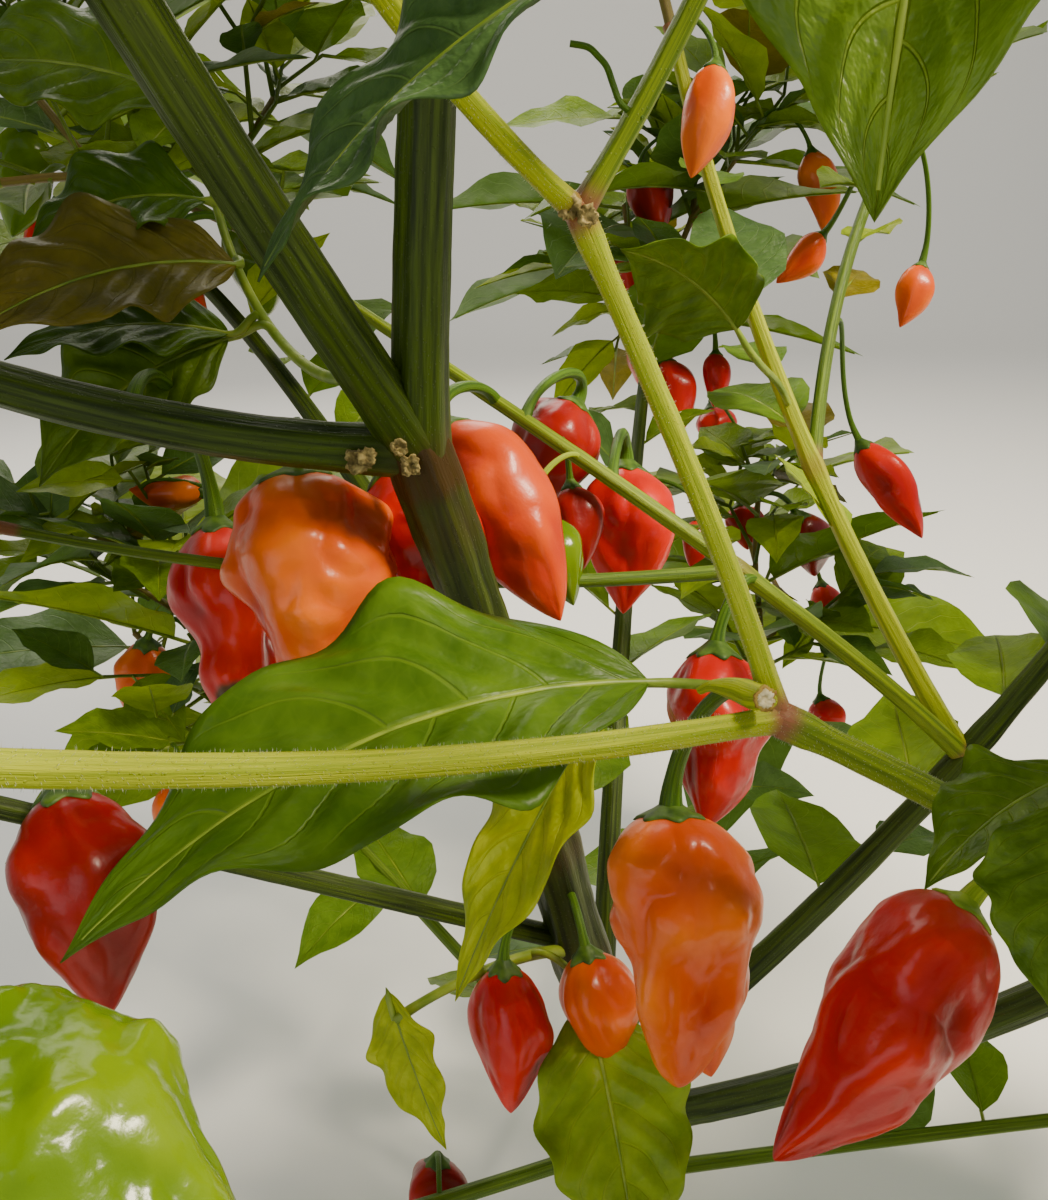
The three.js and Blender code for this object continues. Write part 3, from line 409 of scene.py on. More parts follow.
# The heart of each mass: every leaf belongs to the mass whose heart is nearest.
hearts = {}
for mass_name, mass in MASSES.items():
    stem_path = stem_paths.get(mass_name) or limb_paths[mass["on"]]
    hearts[mass_name] = plus(stem_path[-1], end_heading(stem_path), SHOOT["heart"])

keepout = Keepout()
for name, limb in (*LIMBS.items(), *MASS_STEMS.items()):
    keepout.add_path(
        limb_paths.get(name) or stem_paths[name],
        lambda share: width_of(limb)(share) / 2 + LIMB_ROOM, name,
    )
for name, pod in PODS.items():
    ahead = heading(*pod["hang"])
    stalk = stalk_path(foot_of(pod), pod["reach"], ahead, STALK_STEPS)
    keepout.add_path(stalk, lambda share: LIMB_ROOM, name)
    body = [stalk[-1], plus(stalk[-1], ahead, pod["length"])]
    keepout.add_path(body, lambda share: pod["width"] / 2 + LIMB_ROOM, name)
for name, spray in SPRAYS.items():
    foot = foot_of(spray)
    twig_path = walk(foot, spray["twig"]) if "twig" in spray else [foot, foot]
    keepout.add_path(twig_path, lambda share: LIMB_ROOM, name)
    for leaf in spray["leaves"]:
        leaf_path = walk(plus(along(twig_path, leaf["at"]), leaf["reach"]), leaf, BLADE_STEPS)
        keepout.add_path(leaf_path, lambda share: leaf["width"] * 0.4 + LIMB_ROOM * 0.5, name)

GAP_DIP = math.radians(FRONT_GAP["dip"])
GAP_AHEAD = (0.0, math.cos(GAP_DIP), -math.sin(GAP_DIP))
GAP_UP = (0.0, math.sin(GAP_DIP), math.cos(GAP_DIP))
GAP_WIDTH = math.tan(math.radians(FRONT_GAP["half_width"]))
GAP_HEIGHT = math.tan(math.radians(FRONT_GAP["half_height"]))


def in_front_gap(point):
    reach = minus(point, FRONT_GAP["eye"])
    if size(reach) < FRONT_GAP["room"]:
        return True
    depth = dot(reach, GAP_AHEAD)
    if depth < 0 or depth > FRONT_GAP["depth"]:
        return False
    return abs(reach[0]) < depth * GAP_WIDTH and abs(dot(reach, GAP_UP)) < depth * GAP_HEIGHT


def in_crown(point, inset=0.0):
    share = [
        (centre - place) / (half - inset)
        for centre, place, half in zip(CROWN["centre"], point, CROWN["half"])
    ]
    return point[2] > LOWEST_LEAF and size(share) < 1


def in_cell(point, name):
    own = math.dist(point, hearts[name])
    return all(
        other == name or math.dist(point, heart) - own > 2 * CELL_MARGIN
        for other, heart in hearts.items()
    )


def is_free(points, name, owner):
    return all(
        in_crown(point) and not in_front_gap(point)
        and in_cell(point, name) and not keepout.hits(point, owner)
        for point in points
    )


def leaf_samples(node, middle, tip, side):
    samples = [tip]
    for across in (-1, -0.5, 0, 0.5, 1):
        samples.append(plus(middle, side, across))
        samples.append(plus(mix(middle, tip, 0.5), side, across * 0.6))
        samples.append(plus(mix(middle, node, 0.5), side, across * 0.6))
    return samples


def blade(root, ahead, bend, side, width, tone):
    """A leaf blade: its midrib runs from root by ahead * t + bend * t * t, for t from 0 to 1."""
    return dict(root=root, ahead=ahead, bend=bend, side=side, width=width, tone=tone)


def grow_leaf(node, ahead, azimuth, chance, kind, tone, fits, taken):
    """A leaf that leaves its twig outwards and forwards. Where it would leave its space or touch
    something it tries other sides, smaller each time, and at last there is none."""
    longest = chance(kind["shortest"], kind["longest"])
    rise, droop, roll = (chance(*span) for span in (kind["rise"], LEAF["droop"], LEAF["roll"]))
    for turn in range(LEAF["tries"]):
        length = longest * (1 - LEAF["shrink"] * turn)
        outward = scaled(heading(azimuth + turn * LEAF["turn"], rise), LEAF["outward"])
        first = unit(plus(outward, ahead, LEAF["forward"]))
        middle = plus(node, first, length * LEAF["middle"])
        tip = plus(plus(node, first, length * LEAF["reach"]), UP, -length * droop)
        across = unit(cross(first, UP))
        width = length * LEAF["width"]
        if fits(leaf_samples(node, middle, tip, scaled(across, width * 0.5))):
            line = [mix(node, middle, 0.5), middle, mix(middle, tip, 0.7)]
            taken.add_path(line, lambda share: width * kind["room"])
            return blade(
                node, scaled(first, length * LEAF["reach"]), scaled(UP, -length * droop),
                turned(across, first, roll), width, tone,
            )
    return None


def forks(ahead, plane, chance):
    """The headings of the two shoots that a shoot forks into."""
    side = turned(unit(cross(ahead, UP)), ahead, plane)
    headings = []
    for turn in (-1, 1):
        spread = turn * SHOOT["spread"] * chance(*SHOOT["fork"])
        headings.append(unit(plus(turned(ahead, side, spread), UP, SHOOT["upward"])))
    return headings


class Mass:
    """One mass of foliage, grown by forking shoots. One shoot of a fork carries its line on and
    the other starts a new line. Leaves and now and then a pod sit along them, within the mass's
    own space."""

    def __init__(self, name):
        self.name = name
        self.seed = MASSES[name]["seed"]
        self.stem = MASSES[name].get("stem")
        self.owner = name if self.stem else MASSES[name]["on"]
        self.path = stem_paths.get(name) or limb_paths[self.owner]
        self.leaves = []
        self.pods = []
        self.taken = Keepout()
        ahead = end_heading(self.path)
        start = self.path[-1] if self.stem else plus(self.path[-1], ahead, CLEARANCE)
        tip = (self.stem or LIMBS[self.owner])["tip"]
        self.lines = [[(start, tip / 2 * SHOOT["first"])]]
        self.add_shoot(self.lines[0], ahead, SHOOT["length"], 0, 1)
        self.lines = [line for line in self.lines if len(line) > 1]

    def fits(self, samples):
        crowded = any(self.taken.hits(sample) for sample in samples)
        return not crowded and is_free(samples, self.name, self.owner)

    def add_leaf(self, node, ahead, azimuth, key):
        chance = chance_from(self.seed, key, CHANCE_OF["leaf"])
        tone = chance_from(self.seed, key // 8, CHANCE_OF["tone"])(0, 1)
        leaf = grow_leaf(node, ahead, azimuth, chance, LEAF, tone, self.fits, self.taken)
        if leaf:
            self.leaves.append(leaf)

    def add_pod(self, node, azimuth, key):
        chance = chance_from(self.seed, key, CHANCE_OF["pod"])
        wanted = chance(0, 1) < POD["chance"]
        width = chance(POD["slimmest"], POD["widest"])
        length = chance(POD["shortest"], POD["longest"])
        reach = scaled(heading(azimuth, 0), chance(*POD["reach"]))
        reach = plus(reach, UP, chance(*POD["drop"]))
        hang = heading(azimuth, chance(*POD["hang"]))
        top = plus(node, reach)
        tip = plus(top, hang, length)
        middle = mix(top, tip, 0.4)
        side = scaled(unit((hang[1], -hang[0], 0.0)), width * 0.5)
        across = cross(side, hang)
        samples = [top, tip, middle]
        samples += [plus(middle, side), minus(middle, side), plus(middle, across), minus(middle, across)]
        if wanted and self.fits(samples):
            self.taken.add_path([node, top, tip], lambda share: width * 0.5 + 3)
            self.pods.append(dict(node=node, reach=reach, ahead=hang, width=width, length=length))

    def add_shoot(self, line, ahead, length, order, key):
        chance = chance_from(self.seed, key, CHANCE_OF["shoot"])
        point, radius = line[-1]
        end = plus(point, ahead, length * chance(*SHOOT["uneven"]))
        azimuth = chance(0, 360)
        plane = chance(0, 180)
        if order > 0 and not is_free([mix(point, end, 0.6), end], self.name, self.owner):
            return
        line.append((end, max(radius * SHOOT["thinner"], SHOOT["thinnest"])))
        self.add_pod(mix(point, end, 0.9), azimuth + POD["aside"], key)
        for leaf in range(LEAVES_ON_SHOOT[order]):
            node = mix(point, end, LEAF_NODES["first"] - leaf * LEAF_NODES["apart"])
            self.add_leaf(node, ahead, azimuth + leaf * GOLDEN_ANGLE, key * 8 + leaf)
        if order == SHOOT["orders"] - 1:
            return
        for branch, fork in enumerate(forks(ahead, plane, chance)):
            following = line
            if branch == 1:
                thin = max(line[1][1] * SHOOT["side"], SHOOT["thinnest"])
                following = [(end, min(thin, radius * SHOOT["side"]))]
                self.lines.append(following)
            self.add_shoot(following, fork, length * SHOOT["shorter"], order + 1, key * 2 + branch)


masses = {mass_name: Mass(mass_name) for mass_name in MASSES}

# The finer growth, within the reach of the solids. It forks on from every node of the masses'
# twigs by the rule of their own growth, and smaller leaves fill the space between.
crowd = Keepout()
for mass in masses.values():
    for box, balls in mass.taken.boxes.items():
        crowd.boxes.setdefault(box, []).extend(balls)

hung_pods = [
    dict(top=top, ahead=heading(*hang), length=length, width=width, colour=colour, seed=300 + number)
    for number, (top, hang, length, width, colour) in enumerate(HUNG_PODS)
]
for pod in hung_pods:
    body = [pod["top"], plus(pod["top"], pod["ahead"], pod["length"])]
    crowd.add_path(body, lambda share: pod["width"] * 0.5 + 2)


def finer_fits(owner, cell=None):
    """A test that a smaller leaf's samples lie in open space inside the crown."""
    def fits(samples):
        return all(
            in_crown(point, FINE["inset"]) and not in_front_gap(point)
            and not keepout.hits(point, owner) and not crowd.hits(point)
            and (cell is None or in_cell(point, cell))
            for point in samples
        )
    return fits


class FinerGrowth:
    """Finer twigs that fork on from the nodes of one mass, with leaves along them."""

    def __init__(self, mass):
        self.seed = mass.seed
        self.fits = finer_fits(mass.owner, mass.name)
        self.twigs = []
        self.leaves = []
        for number, line in enumerate(mass.lines):
            for step in range(1, len(line)):
                (before, _), (node, radius) = line[step - 1:step + 1]
                ahead = unit(minus(node, before))
                for half in range(2):
                    place = mix(before, node, 0.5 + 0.5 * half)
                    self.side_twigs(place, ahead, radius, number * 32 + step * 2 + half)

    def side_twigs(self, node, ahead, radius, key):
        chance = chance_from(self.seed, key, CHANCE_OF["fine"])
        azimuth = chance(0, 360)
        for side in range(FINE["sides"]):
            outward = heading(azimuth + side * 360 / FINE["sides"], chance(*FINE["fork_rise"]))
            fork = unit(plus(scaled(outward, FINE["outward"]), ahead, FINE["forward"]))
            length = chance(*FINE["length"])
            self.add_twig(node, fork, min(radius, FINE["base"]), length, 0, key * 4 + side)

    def add_twig(self, point, ahead, radius, length, order, key):
        chance = chance_from(self.seed, key, CHANCE_OF["fine_leaf"])
        end = plus(point, ahead, length * chance(*SHOOT["uneven"]))
        if not self.fits([mix(point, end, 0.7), end]):
            return
        thinner = max(radius * SHOOT["thinner"], FINE["tip"])
        self.twigs.append([(point, radius), (end, thinner)])
        azimuth = chance(0, 360)
        plane = chance(0, 180)
        for number in range(FINE["leaves"]):
            node = mix(point, end, 1 - FINE["apart"] * number)
            tone = FINE["palest"] + (1 - FINE["palest"]) * chance(0, 1)
            facing = azimuth + number * GOLDEN_ANGLE
            leaf = grow_leaf(node, ahead, facing, chance, FINE, tone, self.fits, crowd)
            if leaf:
                self.leaves.append(leaf)
        if order < FINE["orders"] - 1:
            for branch, fork in enumerate(forks(ahead, plane, chance)):
                self.add_twig(end, fork, thinner, length * SHOOT["shorter"], order + 1, key * 2 + branch)


def bough_leaves(owner, path, seed):
    """Leaves that sit along a bough or stem between its foot and its mass."""
    count = int(path_length(path) * (1 - FINE["first"]) / FINE["every"])
    fits = finer_fits(owner)
    leaves = []
    for number in range(count):
        share = FINE["first"] + (1 - FINE["first"]) * (number + 0.5) / count
        chance = chance_from(seed, number, CHANCE_OF["bough_leaf"])
        node = along(path, share)
        ahead = unit(minus(along(path, min(share + 0.05, 1)), along(path, share - 0.05)))
        tone = chance(0, 1)
        leaves.append(grow_leaf(node, ahead, number * GOLDEN_ANGLE + seed, chance, FINE, tone, fits, crowd))
    return [leaf for leaf in leaves if leaf]


finer_lines, finer_leaves = [], []
for mass in masses.values():
    finer = FinerGrowth(mass)
    finer_lines += finer.twigs
    finer_leaves += finer.leaves
for first_seed, paths in ((100, limb_paths), (200, stem_paths)):
    for number, (name, path) in enumerate(paths.items()):
        if name != "trunk":
            finer_leaves += bough_leaves(name, path, first_seed + number)


def points_on(path, every=5.0):
    """Points along a path, a few millimetres apart."""
    pieces = max(2, round(path_length(path) / every))
    return [along(path, number / pieces) for number in range(pieces + 1)]


# Each hung pod starts its stalk at the wood that is nearest to a place above its top.
twig_lines = [line for mass in masses.values() for line in mass.lines] + finer_lines
wood_paths = [*limb_paths.values(), *stem_paths.values()]
wood_paths += [[point for point, radius in line] for line in twig_lines]
wood = [point for path in wood_paths for point in points_on(path)]
for pod in hung_pods:
    above = plus(plus(pod["top"], UP, FINE["above"]), pod["ahead"], -4.0)
    pod["node"] = min(wood, key=lambda point: math.dist(point, above))
    pod["reach"] = minus(pod["top"], pod["node"])


class Number:
    """A number in a node tree. Arithmetic on it adds the nodes that work the result out."""

    def __init__(self, nodes, socket):
        self.nodes = nodes
        self.socket = socket

    def __add__(self, other):
        return self.nodes.math("ADD", self, other)

    def __sub__(self, other):
        return self.nodes.math("SUBTRACT", self, other)

    def __rsub__(self, other):
        return self.nodes.math("SUBTRACT", other, self)

    def __mul__(self, other):
        return self.nodes.math("MULTIPLY", self, other)

    def __truediv__(self, other):
        return self.nodes.math("DIVIDE", self, other)

    def __pow__(self, other):
        return self.nodes.math("POWER", self, other)

    __radd__ = __add__
    __rmul__ = __mul__


class Nodes:
    """Writes a node tree: it adds nodes, sets their values and links them."""

    def __init__(self, tree):
        self.tree = tree
        self.count = 0

    def add(self, kind, inputs=None, **settings):
        node = self.tree.nodes.new(kind)
        node.location = (self.count % 10 * 200, -(self.count // 10) * 280)
        self.count += 1
        for key, value in settings.items():
            setattr(node, key, value)
        for key, value in (inputs or {}).items():
            self.feed(node.inputs[key], value)
        return node

    def feed(self, socket, value):
        if isinstance(value, Number):
            self.tree.links.new(value.socket, socket)
        elif socket.type == "RGBA":
            socket.default_value = (*value, 1.0)
        else:
            socket.default_value = value

    def out(self, kind, inputs=None, output=0, **settings):
        """Adds a node and returns one of its outputs."""
        return Number(self, self.add(kind, inputs, **settings).outputs[output])

    def math(self, operation, *values):
        return self.out("ShaderNodeMath", dict(enumerate(values)), operation=operation)

    def vector(self, operation, *values, **named):
        return self.out("ShaderNodeVectorMath", {**dict(enumerate(values)), **named}, operation=operation)

    def went(self, place, *steps):
        """The place that steps lead to, each a direction and how far to go along it."""
        for direction, far in steps:
            place = self.vector("ADD", place, self.vector("SCALE", direction, Scale=far))
        return place

    def combine(self, x=0.0, y=0.0, z=0.0):
        return self.out("ShaderNodeCombineXYZ", {"X": x, "Y": y, "Z": z})

    def named(self, name, kind="FLOAT"):
        return self.out("GeometryNodeInputNamedAttribute", {"Name": name}, "Attribute", data_type=kind)

    def store(self, geometry, name, value, kind="FLOAT", domain="POINT"):
        return self.out(
            "GeometryNodeStoreNamedAttribute", {"Geometry": geometry, "Name": name, "Value": value},
            data_type=kind, domain=domain,
        )

    def rise(self, value, low, high):
        """0 below a low value and 1 above a high one, with a smooth change between."""
        return self.out(
            "ShaderNodeMapRange", {"Value": value, "From Min": low, "From Max": high},
            interpolation_type="SMOOTHSTEP",
        )

    def fall(self, value, low, high):
        return 1.0 - self.rise(value, low, high)

    def noise(self, place, scale, detail):
        return self.out("ShaderNodeTexNoise", {"Vector": place, "Scale": scale, "Detail": detail})

    def painted(self, name):
        """A value that a piece's mesh holds at each point."""
        return self.out("ShaderNodeAttribute", output="Fac", attribute_name=name)

    def colour(self, share, a, b):
        node = self.add("ShaderNodeMix", {"Factor": share}, data_type="RGBA")
        for socket, value in zip([s for s in node.inputs if s.type == "RGBA"], (a, b)):
            self.feed(socket, value)
        return Number(self, next(s for s in node.outputs if s.type == "RGBA"))


def geometry_tree(name, inputs):
    """A Geometry Nodes tree with one geometry in and out, and named inputs for its sizes."""
    tree = bpy.data.node_groups.new(name, "GeometryNodeTree")
    tree.interface.new_socket("Geometry", in_out="INPUT", socket_type="NodeSocketGeometry")
    tree.interface.new_socket("Geometry", in_out="OUTPUT", socket_type="NodeSocketGeometry")
    for label, kind in inputs:
        tree.interface.new_socket(label, in_out="INPUT", socket_type=f"NodeSocket{kind}")
    nodes = Nodes(tree)
    return nodes, {s.name: Number(nodes, s) for s in nodes.add("NodeGroupInput").outputs}


def finish_tree(nodes, geometry, materials, tone=None):
    """Realizes what a tree made and gives each face its material, by tone where there are several."""
    geometry = nodes.out("GeometryNodeRealizeInstances", {"Geometry": geometry})
    geometry = nodes.out("GeometryNodeSetShadeSmooth", {"Geometry": geometry})
    for number, material in enumerate(materials):
        chosen = {"Selection": nodes.math("GREATER_THAN", tone, number - 0.5)} if number else {}
        inputs = {"Geometry": geometry, "Material": material, **chosen}
        geometry = nodes.out("GeometryNodeSetMaterial", inputs)
    nodes.add("NodeGroupOutput", {0: geometry})
    return nodes.tree


def stem_tree():
    """Tubes along lines, with a radius at each point, length-wise ridges and small lumps."""
    nodes, sizes = geometry_tree("Ribbed stems", [
        ("Sides", "Int"), ("Ring spacing", "Float"), ("Ridges", "Int"), ("Ridge height", "Float"),
        ("Lump height", "Float"), ("Lump scale", "Float"), ("Seed", "Float"), ("Finish", "Material"),
    ])
    place = nodes.out("GeometryNodeInputPosition")
    curve = nodes.out("GeometryNodeMeshToCurve", {"Mesh": sizes["Geometry"]})
    curve = nodes.out("GeometryNodeCurveSplineType", {"Curve": curve}, spline_type="CATMULL_ROM")
    resampled = nodes.add("GeometryNodeResampleCurve", {"Curve": curve}, mode="LENGTH")
    nodes.feed(next(s for s in resampled.inputs if s.name == "Length"), sizes["Ring spacing"])
    length = nodes.out("GeometryNodeSplineParameter", output="Length")
    curve = nodes.store(Number(nodes, resampled.outputs[0]), "along", length)

    profile = nodes.out("GeometryNodeCurvePrimitiveCircle", {"Resolution": sizes["Sides"]})
    around = nodes.out("GeometryNodeInputIndex") / sizes["Sides"]
    profile = nodes.store(profile, "around", around)
    turn = around * sizes["Ridges"] * FULL_TURN
    ridged = nodes.vector("SCALE", place, Scale=nodes.math("COSINE", turn) * sizes["Ridge height"] + 1.0)
    profile = nodes.out("GeometryNodeSetPosition", {"Geometry": profile, "Position": ridged})
    mesh = nodes.out("GeometryNodeCurveToMesh", {
        "Curve": curve, "Profile Curve": profile, "Scale": nodes.named("radius"), "Fill Caps": True,
    })

    spot = nodes.vector("ADD", place, nodes.combine(sizes["Seed"]))
    height = (nodes.noise(spot, sizes["Lump scale"], 2.0) - 0.5) * sizes["Lump height"]
    offset = nodes.vector("SCALE", nodes.out("GeometryNodeInputNormal"), Scale=height)
    mesh = nodes.out("GeometryNodeSetPosition", {"Geometry": mesh, "Offset": offset})
    return finish_tree(nodes, mesh, [sizes["Finish"]])


LEAF_KINDS = ("Deep leaf", "Mid leaf", "Blue leaf", "Young leaf", "Bronze leaf", "Sunlit leaf")


def blade_tree():
    """Leaf blades on points: each point's attributes say where its midrib runs, and the grid of the
    blade is folded along it, waved at its margins and raised a little between its side veins."""
    nodes, sizes = geometry_tree("Leaf blades", [
        ("Steps along", "Int"), ("Steps across", "Int"), ("Fold", "Float"), ("Wave", "Float"),
        ("Waves", "Float"), ("Ripple", "Float"), ("Pucker", "Float"), ("Side veins", "Float"),
        ("Petiole", "Float"), *((kind, "Material") for kind in LEAF_KINDS),
    ])
    grid = nodes.add("GeometryNodeMeshGrid", {
        "Size X": 1.0, "Size Y": 1.0,
        "Vertices X": sizes["Steps along"], "Vertices Y": sizes["Steps across"],
    })
    flat, flat_map = (Number(nodes, grid.outputs[name]) for name in ("Mesh", "UV Map"))
    mesh = nodes.out("GeometryNodeFlipFaces", {"Mesh": flat})
    corner = nodes.add("ShaderNodeSeparateXYZ", {0: nodes.out("GeometryNodeInputPosition")}).outputs
    mesh = nodes.store(mesh, "u", Number(nodes, corner["X"]) + 0.5)
    mesh = nodes.store(mesh, "v", Number(nodes, corner["Y"]) * 2.0)
    mesh = nodes.store(mesh, "OFBake", flat_map, "FLOAT2", "CORNER")
    leaves = nodes.out("GeometryNodeInstanceOnPoints", {"Points": sizes["Geometry"], "Instance": mesh})
    leaves = nodes.out("GeometryNodeRealizeInstances", {"Geometry": leaves})

    share, v = nodes.named("u"), nodes.named("v")
    u = share * (1.0 - sizes["Petiole"]) + sizes["Petiole"]
    root, ahead, bend, side = (
        nodes.named(name, "FLOAT_VECTOR") for name in ("root", "ahead", "bend", "side")
    )
    forward = nodes.went(ahead, (bend, u * 2.0))
    face = nodes.vector("NORMALIZE", nodes.vector("CROSS_PRODUCT", side, forward))
    across = nodes.vector("NORMALIZE", nodes.vector("CROSS_PRODUCT", forward, face))

    # Half width: widest at two fifths, drawn out to a point.
    outline = nodes.math("MAXIMUM", nodes.math("SINE", share ** 0.75 * math.pi), 0.0) ** 1.15
    out = nodes.math("ABSOLUTE", v)
    phase = nodes.named("phase") + nodes.math("SIGN", v) * 1.1
    turn = u * sizes["Waves"] * FULL_TURN
    ripple = nodes.math("SINE", turn * 1.7 + phase * 1.9)
    half = outline * (ripple * sizes["Ripple"] + 1.0) * (nodes.named("width") * 0.5)

    wave = nodes.math("SINE", turn + phase) * out ** 2.5 * sizes["Wave"]
    slant = (u - out * 0.26) * sizes["Side veins"] * FULL_TURN
    pucker = nodes.math("COSINE", slant) * sizes["Pucker"] * (out * (1.0 - out) * 4.0)
    height = (out ** 0.8 * sizes["Fold"] + wave + pucker) * half

    place = nodes.went(root, (ahead, u), (bend, u * u), (across, half * v), (face, height))
    leaves = nodes.out("GeometryNodeSetPosition", {"Geometry": leaves, "Position": place})
    leaves = nodes.out("GeometryNodeMergeByDistance", {"Geometry": leaves, "Distance": 2e-6})
    return finish_tree(nodes, leaves, [sizes[kind] for kind in LEAF_KINDS], nodes.named("tone"))


def hair_tree():
    """Short fine hairs that stand on a surface, at uneven lengths."""
    nodes, sizes = geometry_tree("Fine hairs", [
        ("Density", "Float"), ("Hair length", "Float"), ("Hair radius", "Float"), ("Seed", "Int"),
        ("Finish", "Material"),
    ])
    points = nodes.add("GeometryNodeDistributePointsOnFaces", {
        "Mesh": sizes["Geometry"], "Density": sizes["Density"], "Seed": sizes["Seed"],
    }).outputs
    hair = nodes.out("GeometryNodeMeshCone", {
        "Vertices": 3, "Radius Bottom": sizes["Hair radius"], "Depth": sizes["Hair length"],
    })
    random = nodes.out("FunctionNodeRandomValue", {"Seed": sizes["Seed"]}, 1, data_type="FLOAT")
    hairs = nodes.out("GeometryNodeInstanceOnPoints", {
        "Points": Number(nodes, points["Points"]), "Instance": hair,
        "Rotation": Number(nodes, points["Rotation"]), "Scale": nodes.combine(1.0, 1.0, random * 0.8 + 0.4),
    })
    return finish_tree(nodes, hairs, [sizes["Finish"]])


def piece(name, mesh):
    mesh.name = name
    made = bpy.data.objects.new(name, mesh)
    bpy.context.scene.collection.objects.link(made)
    return made


def made_by(tree, name, source, values, thickness=0.0):
    """The plain mesh piece that a tree makes from a source mesh, given a thickness if it is a sheet."""
    carrier = piece(name + "_source", source)
    modifier = carrier.modifiers.new("shape", "NODES")
    modifier.node_group = tree
    for item in tree.interface.items_tree:
        if item.in_out == "INPUT" and item.name in values:
            modifier[item.identifier] = values[item.name]
    if thickness:
        carrier.modifiers.new("thickness", "SOLIDIFY").thickness = thickness * MM
    graph = bpy.context.evaluated_depsgraph_get()
    mesh = bpy.data.meshes.new_from_object(carrier.evaluated_get(graph), depsgraph=graph)
    bpy.data.objects.remove(carrier)
    return piece(name, mesh)


def mesh_from(name, corners, faces, edges=()):
    mesh = bpy.data.meshes.new(name)
    mesh.from_pydata([scaled(corner, MM) for corner in corners], edges, faces)
    return mesh


def set_values(mesh, name, values, kind="FLOAT"):
    attribute = mesh.attributes.new(name, kind, "POINT")
    field = "vector" if kind == "FLOAT_VECTOR" else "value"
    attribute.data.foreach_set(field, np.asarray(values, np.float32).ravel())


def strands_mesh(name, strands):
    """Lines of points with a radius and a tint, for the tree that makes stems of them."""
    edges, count = [], 0
    for strand in strands:
        edges += [(count + i, count + i + 1) for i in range(len(strand) - 1)]
        count += len(strand)
    points, radii, tints = zip(*(corner for strand in strands for corner in strand))
    mesh = mesh_from(name, points, [], edges)
    set_values(mesh, "radius", [radius * MM for radius in radii])
    set_values(mesh, "tint", tints)
    return mesh


def blades_mesh(name, leaves):
    """One point for each leaf, with the attributes that the tree of blades reads."""
    mesh = mesh_from(name, [leaf["root"] for leaf in leaves], [])
    for key in ("root", "ahead", "bend"):
        set_values(mesh, key, [scaled(leaf[key], MM) for leaf in leaves], "FLOAT_VECTOR")
    set_values(mesh, "side", [leaf["side"] for leaf in leaves], "FLOAT_VECTOR")
    set_values(mesh, "width", [leaf["width"] * MM for leaf in leaves])
    set_values(mesh, "phase", [number * LEAF_PHASE for number in range(len(leaves))])
    set_values(mesh, "tone", [leaf_tone(leaf["tone"]) for leaf in leaves])
    return mesh


def leaf_tone(tone):
    """Which green a leaf takes: its own, or by a share that was dealt out to it."""
    return tone if isinstance(tone, int) else sum(tone > bound for bound in TONE_BOUNDS)


def material(name):
    made = bpy.data.materials.new(name)
    made.use_nodes = True
    made.node_tree.nodes.clear()
    return made, Nodes(made.node_tree)


def surface(nodes, colour, relief, roughness, specular, depth, **more):
    """The surface's shader. Values that are the same all over are set on its own sockets."""
    bump = nodes.out("ShaderNodeBump", {"Height": relief, "Distance": depth, "Strength": 1.0})
    return nodes.out("ShaderNodeBsdfPrincipled", {
        "Base Color": colour, "Roughness": roughness, "Specular IOR Level": specular, "Normal": bump,
        **{label.replace("_", " "): value for label, value in more.items()},
    })


def finished(made, nodes, shader):
    nodes.add("ShaderNodeOutputMaterial", {"Surface": shader})
    return made


# Places on stems are a turn round them and a length in metres along them. A pattern is given by
# its scale and detail, by where it starts and ends, and by how much it counts in the colour and
# in the relief.
STREAKS = dict(across=2.2, along=14.0, scale=1.6, detail=4.0, edge=(0.45, 0.9))
FIBRES = dict(across=60.0, along=90.0, detail=3.0, share=0.35, relief=0.6)
FRECKLES = dict(scale=900.0, edge=(0.12, 0.22), share=0.03, relief=0.3, colour=(0.5, 0.55, 0.3))
NODE_TINT = dict(edge=(0.1, 0.9), least=0.45)
CORK = dict(
    scale=0.5, detail=6.0, least=0.35, edge=(0.0, 0.5), relief=3.0, dark=(0.1, 0.07, 0.035),
    light=(0.4, 0.32, 0.2),
)
STEM_SURFACE = dict(roughness=0.42, specular=0.22, depth=0.0004)


